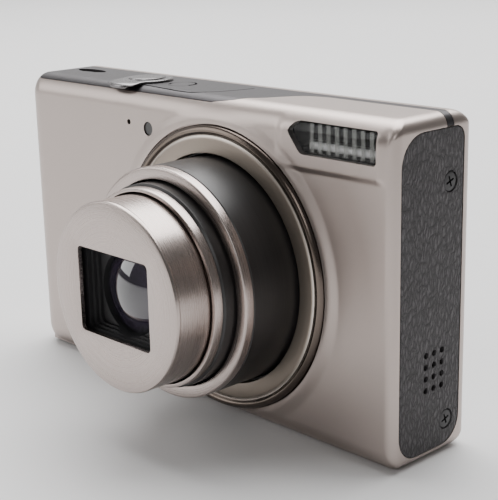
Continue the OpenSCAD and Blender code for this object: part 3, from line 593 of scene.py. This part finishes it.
def flash_outline(grow=0.0):
    x0, x1, z0, z1 = FLASH_LOW[0] - grow, FLASH_HIGH[0] + grow, FLASH_LOW[2] - grow, FLASH_HIGH[2] + grow
    square_end = rounded(x1 - 6, x1, z0, z1, [0.01, 0.7, 0.7, 0.01], 5)[6:18]
    return square_end + [(x0 + 2.2, z1), (x0 + 1.3, z1 - 0.25), (x0 + 0.35, z1 - 1.05), (x0, z1 - 1.7),
                         (x0 + 0.25, z1 - 2.3), (x0 + 2.2, z0 + 0.65), (x0 + 2.7, z0 + 0.2), (x0 + 3.4, z0)]


def panel_outline(grow):
    low, high = box_mm("side_panel")
    return rounded(low[1] - grow, high[1] + grow, low[2] - grow, high[2] + grow,
                   [r + grow for r in (4.4, 4.6, 2.2, 5.2)])


def smooth_path(path, steps):
    """A soft curve through the points of a path."""
    out = []
    for k in range(len(path) - 1):
        p0, p1, p2, p3 = path[max(k - 1, 0)], path[k], path[k + 1], path[min(k + 2, len(path) - 1)]
        out += [between(p0, p1, p2, p3, i / steps) for i in range(steps)]
    return out + [path[-1]]


def ribbon(path, half):
    """Outline of a thin band that follows a path."""
    left, right = [], []
    for k, (a, b) in enumerate(path):
        p, q = path[max(k - 1, 0)], path[min(k + 1, len(path) - 1)]
        length = math.hypot(q[0] - p[0], q[1] - p[1])
        nx, ny = -(q[1] - p[1]) / length * half, (q[0] - p[0]) / length * half
        left.append((a + nx, b + ny))
        right.append((a - nx, b - ny))
    return left + right[::-1]


def pointed_slot(x, y, half_length, half_width, steps=14):
    """Outline of a lens-shaped slot."""
    top = [(x - half_length + 2 * half_length * i / steps, y + half_width * math.sin(math.pi * i / steps) ** 0.6)
           for i in range(steps + 1)]
    low = [(x + half_length - 2 * half_length * i / steps, y - half_width * math.sin(math.pi * i / steps) ** 0.6)
           for i in range(1, steps)]
    return top + low


BUTTON_LOW, BUTTON_HIGH = box_mm("shutter_button")
LEVER_X, LEVER_Y = (BUTTON_LOW[0] + BUTTON_HIGH[0]) / 2, (BUTTON_LOW[1] + BUTTON_HIGH[1]) / 2
POWER_LOW, POWER_HIGH = box_mm("power_button")
POWER_X, POWER_Y = (POWER_LOW[0] + POWER_HIGH[0]) / 2, (POWER_LOW[1] + POWER_HIGH[1]) / 2


def make_controls():
    # zoom lever: a ring with a tab that turns down over the front edge
    points, sides = [], 192
    for i in range(sides):
        turn = 2 * math.pi * i / sides
        off = abs((math.degrees(turn) - 270 + 180) % 360 - 180)
        edge = 5.0 + 2.55 * smooth((50 - off) / 24)
        share = (edge - 5.0) / 2.55

        def top(r):
            return TOP + 0.5 - 0.075 * max(0.0, r - 5.2) ** 2 * share

        low = TOP + 0.06 - 0.7 * smooth((28 - off) / 14)
        section = [(3.55, TOP - 2), (3.55, TOP + 0.40), (3.65, TOP + 0.5)]
        section += [(r, top(r)) for r in (3.65 + (edge - 0.42 - 3.65) * k / 10 for k in range(1, 11))]
        section += [(edge - 0.2, top(edge - 0.2) - 0.03), (edge - 0.06, top(edge) - 0.09), (edge, top(edge) - 0.2),
                    (edge, low + 0.08), (edge - 0.08, low), (edge - 0.5, low), (edge - 0.6, TOP + 0.06),
                    (4.2, TOP + 0.06), (4.2, TOP - 2)]
        points += [(LEVER_X + r * math.cos(turn), LEVER_Y + r * math.sin(turn), z) for r, z in section]
    count = len(section)
    faces = [(i * count + k, (i + 1) % sides * count + k,
              (i + 1) % sides * count + (k + 1) % count, i * count + (k + 1) % count)
             for i in range(sides) for k in range(count)]
    lever = tidy(mesh_object("zoom_lever_piece", points, faces), 38)
    finish_piece(lever, CONTROL, "zoom_lever", "control_metal", "zoom_lever")

    button = lathe("shutter_button_piece",
                   [(0, TOP - 3.4), (1.2, TOP - 3.4), (1.2, TOP - 0.6), (3.4, TOP - 0.6), (3.4, TOP + 0.52),
                    (3.33, TOP + 0.66), (3.15, TOP + 0.73), (2.8, TOP + 0.75), (1.6, TOP + 0.68), (0, TOP + 0.64)],
                   LEVER_X, sides=128, axis="Z", y=LEVER_Y)
    finish_piece(button, CONTROL, "shutter_button", "control_metal", "shutter_button")

    # power button: flush cap with a groove three quarters of the way round
    def round_power(r, a):
        return POWER_X + r * math.cos(math.radians(a)), POWER_Y + r * math.sin(math.radians(a))

    cap = lathe("power_button_piece", [(0, TOP - 1.8), (2.7, TOP - 1.8), (2.72, TOP - 1.1), (2.72, TOP - 0.02),
                                       (2.66, TOP + 0.03), (0, TOP + 0.05)],
                POWER_X, sides=128, axis="Z", y=POWER_Y)
    groove = [round_power(2.9, a) for a in range(-10, 221, 5)] + [round_power(2.34, a) for a in range(220, -11, -5)]
    boolean(cap, prism("groove", groove, TOP - 0.5, TOP + 1, "Z"))
    for a in (-10, 220):
        boolean(cap, prism("dot", disc(*round_power(2.42, a), 0.34, 24), TOP - 0.5, TOP + 1, "Z"))
    finish_piece(tidy(cap, 35), GUNMETAL, "power_button", "control_metal", "power_button")

    # mode switch: knob with a raised grip, on a wider foot under the plate
    low, high = box_mm("mode_switch")
    y = (low[1] + high[1]) / 2
    foot = slab("mode_switch_piece", (low[0], low[1], low[2]), (high[0], high[1], low[2] + 0.75))
    grip = rounded(low[0] + 1.6, high[0] - 1.6, y - 1.05, y + 1.05, [0.9] * 4, 6)
    knob = prism("knob", grip, low[2] + 0.2, TOP - 0.45, "Z")
    boolean(foot, knob, "UNION")
    for k in range(4):
        x = (low[0] + high[0]) / 2 - 0.9 + 0.6 * k
        boolean(foot, slab("cut", (x - 0.12, y - 2, TOP - 0.62), (x + 0.12, y + 2, TOP)))
    finish_piece(tidy(bevel(foot, 0.06, 2, 50), 35), CONTROL_DARK, "mode_switch", "control_plastic", "mode_switch")

    # rear buttons: low domes on a flange
    for node in ("play_button", "movie_button", "menu_button"):
        low, high = box_mm(node)
        x, z = (low[0] + high[0]) / 2, (low[2] + high[2]) / 2
        r, f = (high[0] - low[0]) / 2 - 0.6, (high[0] - low[0]) / 2
        dome = lathe(node + "_piece", [(0, low[1]), (f, low[1]), (f, YR - 0.95), (r, YR - 0.95), (r, YR + 0.02),
                                       (r - 0.1, YR + 0.12), (r - 0.3, YR + 0.17), (r * 0.5, YR + 0.2),
                                       (0, YR + 0.2)], x, z, 96)
        finish_piece(dome, CONTROL_DARK, node, "control_plastic", node)
    low, high = box_mm("four_way_pad")
    x, z = (low[0] + high[0]) / 2, (low[2] + high[2]) / 2
    pad = lathe("four_way_pad_piece", [(3.65, low[1]), (9.2, low[1]), (9.2, YR - 0.95), (8.6, YR - 0.95),
                                       (8.6, YR + 0.1), (8.5, YR + 0.22), (8.3, YR + 0.29), (7.9, YR + 0.3),
                                       (7.0, YR + 0.16), (5.2, YR + 0.1), (4.2, YR + 0.22), (3.85, YR + 0.2),
                                       (3.65, YR + 0.08)], x, z, 160)
    finish_piece(pad, CONTROL, "four_way_pad", "control_metal", "four_way_pad")
    low, high = box_mm("set_button")
    centre = lathe("set_button_piece", [(0, low[1]), (3.5, low[1]), (3.5, high[1] - 0.12), (3.4, high[1] - 0.03),
                                        (3.2, high[1]), (1.6, high[1] - 0.06), (0, high[1] - 0.1)], x, z, 128)
    finish_piece(centre, CONTROL, "set_button", "control_metal", "set_button")

    low, high = box_mm("screen_glass")
    glass = prism("screen_glass_piece", rounded(low[0], high[0], low[2], high[2], [0.8] * 4, 8), low[1], high[1])
    finish_piece(tidy(bevel(glass, 0.14, 3, 50), 35), SCREEN, "camera_body", "screen", "screen_glass")


def make_covers():
    outer = body_form("outer", 0.0, 0.42, 100, True)
    inner = body_form("inner", WALL, 1.6, 8, False)
    shell = boolean(outer, inner)
    panel_back = box_mm("side_panel")[0][0]
    wall_block = prism("wall_block", panel_outline(0.7), panel_back - WALL, X1 - 0.4, "X")
    shell = boolean(shell, wall_block, "UNION")
    shell = boolean(shell, prism("recess", panel_outline(0.06), panel_back, X1 + 4, "X"))

    top = boolean(copy_of(shell, "top_plate_piece"), top_zone(0), "INTERSECT")
    shell = boolean(shell, top_zone(GAP))
    rear = boolean(copy_of(shell, "rear_cover_piece"), front_zone(GAP / 2))
    front = boolean(shell, front_zone(-GAP / 2), "INTERSECT")
    front.name = "front_cover_piece"

    # openings of the front cover
    front = boolean(front, prism("hole", disc(LX, LZ, 22.6, 160), YF - 9, YF + 9))
    front = boolean(front, prism("hole", disc(LX, LZ, 26.05, 256), YF - 9, YF - 0.02))
    front = boolean(front, prism("hole", flash_outline(0.08), YF - 9, YF + 5))
    a, b = box_mm("af_lamp")
    lamp_x, lamp_z = (a[0] + b[0]) / 2, (a[2] + b[2]) / 2
    front = boolean(front, prism("hole", disc(lamp_x, lamp_z, 1.3, 48), YF - 9, YF + 5))
    front = boolean(front, prism("microphone", disc(lamp_x - 5.8, lamp_z + 0.7, 0.5, 32), YF - 9, YF + 5))
    door_low, door_high = box_mm("battery_door")
    g = 0.15
    front = boolean(front, slab("hole", (door_low[0] - g, door_low[1] - g, -2),
                                (door_high[0] + g, door_high[1] + g, 2.1)))
    term_low, term_high = box_mm("terminal_door")
    for cover in (front, rear):
        boolean(cover, slab("hole", (X0 - 2, term_low[1] - g, term_low[2] - g),
                            (X0 + 2.2, term_high[1] + g, term_high[2] + g)))
        boolean(cover, prism("hole", disc(0, 0, 4.45, 64), -2, 3, "Z"))
    strap_low, strap_high = box_mm("strap_bar")
    sy = (strap_low[1] + strap_high[1]) / 2
    pocket = rounded(sy - 1.6, sy + 1.6, strap_low[2] + 1, strap_high[2] - 1, [1.5] * 4)
    front = boolean(front, prism("hole", pocket, X0 - 2, X0 + 2.6, "X"))

    # openings of the rear cover
    glass_low, glass_high = box_mm("screen_glass")
    opening = rounded(glass_low[0] - 0.1, glass_high[0] + 0.1, glass_low[2] - 0.1, glass_high[2] + 0.1, [0.9] * 4)
    rear = boolean(rear, prism("hole", opening, YR - 2, YR + 3))
    for node in ("play_button", "movie_button", "menu_button", "four_way_pad"):
        a, b = box_mm(node)
        r = (b[0] - a[0]) / 2 - 0.6 + 0.15
        rear = boolean(rear, prism("hole", disc((a[0] + b[0]) / 2, (a[2] + b[2]) / 2, r, 96), YR - 2, YR + 2))
    for x in (X0 + 12, 14, X1 - 12):
        rear = boolean(rear, prism("hole", disc(x, 4.8, 1.25, 40), -2, 0.45, "Z"))
    # openings of the top plate
    top = boolean(top, prism("hole", disc(LEVER_X, LEVER_Y, 4.35, 96), TOP - 3, TOP + 3, "Z"))
    top = boolean(top, prism("hole", disc(POWER_X, POWER_Y, 2.75, 96), TOP - 3, TOP + 3, "Z"))
    slot = box_mm("mode_switch")[0]
    x, y = slot[0] + 5.4, (slot[1] + box_mm("mode_switch")[1][1]) / 2
    top = boolean(top, prism("hole", pointed_slot(x, y, 4.5, 1.6), TOP - 3, TOP + 3, "Z"))
    line = [(-8.5, -6.6), (-5.0, -6.75), (-1.0, -7.0), (3.0, -7.2), (6.2, -7.1), (8.6, -6.2), (10.2, -4.4),
            (11.4, -1.8), (12.2, 0.8), (12.6, 2.4)]
    top = boolean(top, prism("groove", ribbon(smooth_path(line, 8), 0.16), TOP - 0.5, TOP + 2, "Z"))
    for obj in (front, rear, top):
        tidy(obj, 32)
    finish_piece(front, SHELL, "camera_body", "shell", "front_cover")
    finish_piece(rear, SHELL, "camera_body", "shell", "rear_cover")
    finish_piece(top, GUNMETAL, "camera_body", "top_plate", "top_cover")


def make_lens():
    y_front = CAP_LOW[1]
    # face plate: turned disc with a rolled edge and a rectangular mouth
    cap = lathe("front_cap_piece", [(0, y_front), (15.9, y_front), (16.2, y_front + 0.1), (CAP_R, y_front + 0.32),
                                    (CAP_R, y_front + 0.8), (0, y_front + 0.8)], sides=256)
    mouth = rounded(LX - MOUTH_W, LX + MOUTH_W, LZ - MOUTH_H, LZ + MOUTH_H, [0.9] * 4)
    cap = bevel(boolean(cap, prism("hole", mouth, y_front - 1, y_front + 2)), 0.12, 2, 60)
    tidy(cap, 35)
    finish_piece(cap, TURNED, "barrel_3", "turned_metal", "front_cap")

    low, high = box_mm("barrel_3")
    body = lathe("barrel_3_piece", [(15.5, low[1]), (CAP_R, low[1]), (CAP_R, high[1] - 0.3), (16.1, high[1]),
                                    (15.5, high[1])], sides=256)
    finish_piece(body, TURNED, "barrel_3", "turned_metal", "barrel_3")

    low, high = box_mm("ring_2")
    f, b = low[1], high[1]
    ring = lathe("ring_2_piece", [(16.65, b), (16.65, f + 0.15), (16.75, f), (17.15, f), (17.33, f + 0.07),
                                  (RING_2_R, f + 0.25), (RING_2_R, b)], sides=256)
    finish_piece(ring, TURNED, "barrel_2", "turned_metal", "ring_2")
    low, high = box_mm("barrel_2")
    f, b = low[1], high[1]
    tube = lathe("barrel_2_piece", [(16.9, f), (17.5, f), (BARREL_2_R, f + 0.3), (BARREL_2_R, b), (16.9, b)], sides=256)
    finish_piece(tube, BARREL, "barrel_2", "barrel_black", "barrel_2")

    low, high = box_mm("ring_1")
    f, b = low[1], high[1]
    ring = lathe("ring_1_piece", [(18.1, b), (18.1, f + 0.3), (18.25, f + 0.06), (18.5, f), (20.0, f),
                                  (20.2, f + 0.06), (20.32, f + 0.18), (BARREL_1_R, f + 0.35), (BARREL_1_R, b)],
                 sides=256)
    finish_piece(ring, TURNED, "barrel_1", "turned_metal", "ring_1")
    low, high = box_mm("barrel_1")
    f, b = low[1], high[1]
    tube = lathe("barrel_1_piece", [(19.45, f), (20.2, f), (20.2, f + 0.2), (BARREL_1_R, f + 0.35),
                                    (BARREL_1_R, b), (19.45, b)], sides=256)
    finish_piece(tube, BARREL, "barrel_1", "barrel_black", "barrel_1")

    # trim ring: flat turned cone inside, groove, bead and outer slope
    y = YF
    trim = lathe("lens_ring_piece", [(22.5, y + 0.8), (22.5, y), (TRIM_R, y), (TRIM_R, y - 0.5), (25.6, y - 0.95),
                                     (25.3, y - 1.18), (25.0, y - 1.28), (24.75, y - 1.3), (24.55, y - 1.2),
                                     (24.3, y - 0.92), (24.1, y - 0.8), (23.9, y - 0.8), (23.75, y - 0.88),
                                     (23.6, y - 0.98), (23.3, y - 1.0), (21.1, y - 1.24), (20.95, y - 1.2),
                                     (TRIM_BORE, y - 1.05), (TRIM_BORE, y + 0.8)], sides=320)
    finish_piece(trim, RING_METAL_PAINTED_LIGHT, "camera_body", "polished_ring", "lens_ring")

    # black frame behind the mouth: three shallow steps down to the glass
    low, high = box_mm("lens_frame")
    hood = lathe("lens_frame_piece", [(0, low[1]), (15.45, low[1]), (15.45, high[1]), (0, high[1])], sides=128)
    for inset, depth, r in ((0.35, 0.7, 0.7), (1.0, 1.3, 0.9), (1.6, 1.9, 1.2)):
        hole = rounded(LX - MOUTH_W + inset, LX + MOUTH_W - inset,
                       LZ - MOUTH_H + inset * 0.6, LZ + MOUTH_H - inset * 0.6, [r] * 4)
        boolean(hood, prism("hole", hole, low[1] - 1, low[1] + depth))
    boolean(hood, prism("hole", disc(LX, LZ, 7.35, 96), low[1] - 1, low[1] + 3.2))
    boolean(hood, prism("hole", disc(LX, LZ, 6.2, 96), low[1], high[1] + 1))
    bevel(hood, 0.08, 1, 60)
    tidy(hood, 35)
    finish_piece(hood, BLACK, "barrel_3", "barrel_black", "lens_frame")

    low, high = box_mm("front_lens")
    apex, bulge = low[1] + 0.4, 12.5
    dome = [(7.3 * k / 28, apex + bulge - math.sqrt(bulge ** 2 - (7.3 * k / 28) ** 2)) for k in range(29)]
    glass = lathe("front_lens_piece", dome + [(7.3, high[1] - 0.3), (0, high[1] - 0.3)], sides=160)
    finish_piece(glass, LENS_GLASS, "barrel_3", "lens_glass", "front_lens")


def make_flash():
    skin = body_form("skin", 0.0, 0.8, 48, True)
    inner = body_form("inner", WALL, 1.6, 8, False)
    window = boolean(boolean(skin, inner), prism("keep", flash_outline(0.0), YF - 4, YF + 5), "INTERSECT")
    tidy(window, 30)
    window.name = "flash_window_piece"
    finish_piece(window, WINDOW, "camera_body", "clear_window", "flash_window")


def make_flash_inside():
    x0, x1, z0, z1 = FLASH_LOW[0], FLASH_HIGH[0], FLASH_LOW[2], FLASH_HIGH[2]
    back = box_mm("flash_reflector")[1][1]
    # black tray round the mirror trough; its near-black finish is partly painted shade of the recess
    tray = prism("flash_tray_piece", rounded(x0 - 0.3, x1 + 0.25, z0 - 0.2, z1 + 0.2, [0.4] * 4, 3), YF + 1.0, back)
    boolean(tray, prism("hole", rounded(x0 + 0.1, x1 - 0.15, z0 + 0.2, z1 - 0.2, [0.4] * 4, 3), YF, back - 0.4))
    finish_piece(tidy(tray, 35), BLACK_TRAY_PAINTED_SHADE, "camera_body", "black_plastic")
    # mirror trough with closed ends
    mirror = slab("flash_reflector_piece", (x0 + 3.0, YF + 1.5, z0 + 0.3), (x1 - 0.5, back - 0.45, z1 - 3.2))
    middle = (z0 + 0.3 + z1 - 3.2) / 2
    cut = []
    for k in range(25):
        t = math.pi * k / 24
        cut.append((YF + 1.4 + 2.3 * math.sin(t), middle + 1.1 * math.cos(t)))
    boolean(mirror, prism("trough", cut, x0 + 3.3, x1 - 0.8, "X"))
    finish_piece(tidy(mirror, 40), REFLECTOR, "camera_body", "reflector", "flash_reflector")
    tube = lathe("flash_tube_piece", [(0, x0 + 3.2), (0.6, x0 + 3.2), (0.68, x0 + 3.4), (0.68, x1 - 0.9),
                                      (0.6, x1 - 0.7), (0, x1 - 0.7)], sides=32, axis="X", y=YF + 2.0, z=middle)
    finish_piece(tube, TUBE_PAINTED_BRIGHT, "camera_body", "clear_window", "flash_tube")
    # upright prism ribs on the back of the window
    rib = prism("flash_rib_piece", [(-0.42, 0), (0.42, 0), (0.32, 0.22), (0.12, 0.34), (-0.12, 0.34), (-0.32, 0.22)],
                z0 + 0.25, z1 - 0.25, "Z")
    for v in rib.data.vertices:
        v.co.x += (x0 + 4.2) * MM
        v.co.y += (YF + 0.85) * MM
    repeat_along(rib, 8, (1.82 * MM, 0, 0), RIB_GLASS)
    finish_piece(rib, RIB_GLASS, "camera_body", "clear_window")


def repeat_along(obj, count, pitch, finish):
    """Repeats a piece at an even pitch with a Geometry Nodes tree, and keeps the plain mesh."""
    tree = bpy.data.node_groups.new("repeat along a line", "GeometryNodeTree")
    face = tree.interface
    face.new_socket("Piece", in_out="INPUT", socket_type="NodeSocketGeometry")
    number = face.new_socket("Count", in_out="INPUT", socket_type="NodeSocketInt")
    step = face.new_socket("Pitch", in_out="INPUT", socket_type="NodeSocketVector")
    skin = face.new_socket("Finish", in_out="INPUT", socket_type="NodeSocketMaterial")
    face.new_socket("Pieces", in_out="OUTPUT", socket_type="NodeSocketGeometry")
    start, end = tree.nodes.new("NodeGroupInput"), tree.nodes.new("NodeGroupOutput")
    line = tree.nodes.new("GeometryNodeMeshLine")
    place = tree.nodes.new("GeometryNodeInstanceOnPoints")
    real = tree.nodes.new("GeometryNodeRealizeInstances")
    paint = tree.nodes.new("GeometryNodeSetMaterial")
    tree.links.new(start.outputs["Count"], line.inputs["Count"])
    tree.links.new(start.outputs["Pitch"], line.inputs["Offset"])
    tree.links.new(line.outputs[0], place.inputs["Points"])
    tree.links.new(start.outputs["Piece"], place.inputs["Instance"])
    tree.links.new(place.outputs[0], real.inputs[0])
    tree.links.new(real.outputs[0], paint.inputs["Geometry"])
    tree.links.new(start.outputs["Finish"], paint.inputs["Material"])
    tree.links.new(paint.outputs[0], end.inputs[0])
    repeat = obj.modifiers.new("repeat", "NODES")
    repeat.node_group = tree
    repeat[number.identifier] = count
    repeat[step.identifier] = pitch
    repeat[skin.identifier] = finish
    return apply_modifiers(obj)


def make_screws():
    low, high = box_mm("side_screws")
    y, z = (low[1] + high[1]) / 2, low[2] + 1.7
    head = high[0]
    screw = lathe("side_screws_piece", [(0, low[0]), (0.7, low[0]), (0.7, head - 0.55), (1.7, head - 0.55),
                                        (1.7, head - 0.16), (1.6, head - 0.05), (1.4, head), (0, head)],
                  z=z, sides=64, axis="X", y=y)
    for turn in (20, 110):
        c, s = math.cos(math.radians(turn)), math.sin(math.radians(turn))
        bar = [(y + u * c - v * s, z + u * s + v * c)
               for u, v in ((-0.95, -0.17), (0.95, -0.17), (0.95, 0.17), (-0.95, 0.17))]
        boolean(screw, prism("slot", bar, head - 0.4, head + 1, "X"))
    tidy(screw, 35)
    repeat_along(screw, 2, (0, 0, (high[2] - low[2] - 3.4) * MM), SCREW)
    soften(screw, 35)
    finish_piece(screw, SCREW, "camera_body", "screw_black", "side_screws")


def make_panel():
    panel = prism("side_panel_piece", panel_outline(0.0), box_mm("side_panel")[0][0], X1, "X")
    bevel(panel, 0.28, 4, 60)
    hole_pitch, hole_y, hole_z = 2.05, 0.4, 15.7  # speaker holes, three across and four up
    for i in (-1, 0, 1):
        for k in (-1.5, -0.5, 0.5, 1.5):
            hole = disc(hole_y + i * hole_pitch, hole_z + k * hole_pitch, 0.56, 28)
            boolean(panel, prism("hole", hole, X1 - 3, X1 + 2, "X"))
    screws_low, screws_high = box_mm("side_screws")
    y = (screws_low[1] + screws_high[1]) / 2
    for z in (screws_low[2] + 1.7, screws_high[2] - 1.7):
        boolean(panel, prism("hole", disc(y, z, 1.78, 48), X1 - 0.65, X1 + 2, "X"))
        boolean(panel, prism("hole", disc(y, z, 0.8, 32), X1 - 3, X1 + 2, "X"))
    tidy(panel, 35)
    finish_piece(panel, GRAIN_PAINTED_LIGHT, "camera_body", "grain_panel", "side_panel")


def studio():
    def area(name, place, target, size, power, colour=(1, 1, 1)):
        data = bpy.data.lights.new(name, "AREA")
        data.shape = "RECTANGLE"
        data.size, data.size_y = size
        data.energy = power
        data.color = colour
        lamp = bpy.data.objects.new(name, data)
        lamp.location = place
        lamp.rotation_euler = (Vector(target) - Vector(place)).to_track_quat("-Z", "Y").to_euler()
        bpy.context.collection.objects.link(lamp)

    area("overhead softbox", (-0.35, 0.50, 1.30), (0, 0.0, 0), (1.7, 1.4), 52.0)
    area("front left softbox", (-0.75, -0.60, 0.45), (0.0, 0, 0.02), (0.5, 0.7), 3.5)
    area("front right softbox", (0.42, -0.85, 0.55), (0.03, 0, 0.03), (0.35, 0.5), 1.6)
    world = bpy.data.worlds.new("studio")
    world.use_nodes = True
    nodes, links = world.node_tree.nodes, world.node_tree.links
    sky = nodes["Background"]
    sky.inputs[0].default_value = (0.86, 0.85, 0.84, 1)
    # a pale wall behind the table, and a darker room at the sides and in front
    way = nodes.new("ShaderNodeTexCoord")
    wall = nodes.new("ShaderNodeVectorMath")
    wall.operation = "DOT_PRODUCT"
    wall.inputs[1].default_value = (-0.73, 0.68, 0.15)
    level = nodes.new("ShaderNodeMapRange")
    level.interpolation_type = "SMOOTHSTEP"
    for slot, value in ((1, 0.25), (2, 0.85), (3, 0.20), (4, 0.95)):
        level.inputs[slot].default_value = value
    links.new(way.outputs["Generated"], wall.inputs[0])
    links.new(wall.outputs["Value"], level.inputs[0])
    links.new(level.outputs[0], sky.inputs[1])
    bpy.context.scene.world = world

    table = Finish("pale table", Metallic=0.0, Specular_IOR_Level=0.3)
    cloud = table.noise(3.0, 2, 0.5)
    table.set(Base_Color=table.ramp(cloud, [(0.3, (0.76, 0.755, 0.755, 1)), (0.7, (0.78, 0.775, 0.775, 1))]),
              Roughness=cloud * 0.05 + 0.55)
    reach = 3000.0
    corners = [(-reach, -reach, 0), (reach, -reach, 0), (reach, reach, 0), (-reach, reach, 0)]
    floor = mesh_object("floor", corners, [(0, 1, 2, 3)])
    floor.data.materials.append(table.material)


def main_camera():
    azimuth, height, roll = (math.radians(v) for v in (46.76, 15.58, -1.34))
    back = Vector((math.sin(azimuth) * math.cos(height), -math.cos(azimuth) * math.cos(height), math.sin(height)))
    right = Vector((math.cos(azimuth), math.sin(azimuth), 0))
    up = back.cross(right)
    level, rise = right * math.cos(roll) + up * math.sin(roll), up * math.cos(roll) - right * math.sin(roll)
    data = bpy.data.cameras.new("camera view")
    data.sensor_width = 36
    data.lens = 88.43
    data.clip_start, data.clip_end = 0.01, 20
    data.shift_x, data.shift_y = -0.0007, 0.003
    view = bpy.data.objects.new("camera view", data)
    turn = Matrix((level, rise, back)).transposed().to_4x4()
    view.matrix_world = Matrix.Translation(Vector((172.69, -150.37, 89.19)) * MM) @ turn
    bpy.context.collection.objects.link(view)
    bpy.context.scene.camera = view


main_camera()
for node_name, node_object in frame["nodes"].items():
    slot_name = next(p["material_slot"] for p in frame["record"]["subparts"] if p["node"] == node_name)
    node_object.data.materials.clear()
    node_object.data.materials.append(NODE_FINISH[slot_name])
make_covers()
make_lens()
make_flash()
make_flash_inside()
make_panel()
make_screws()
make_controls()
studio()
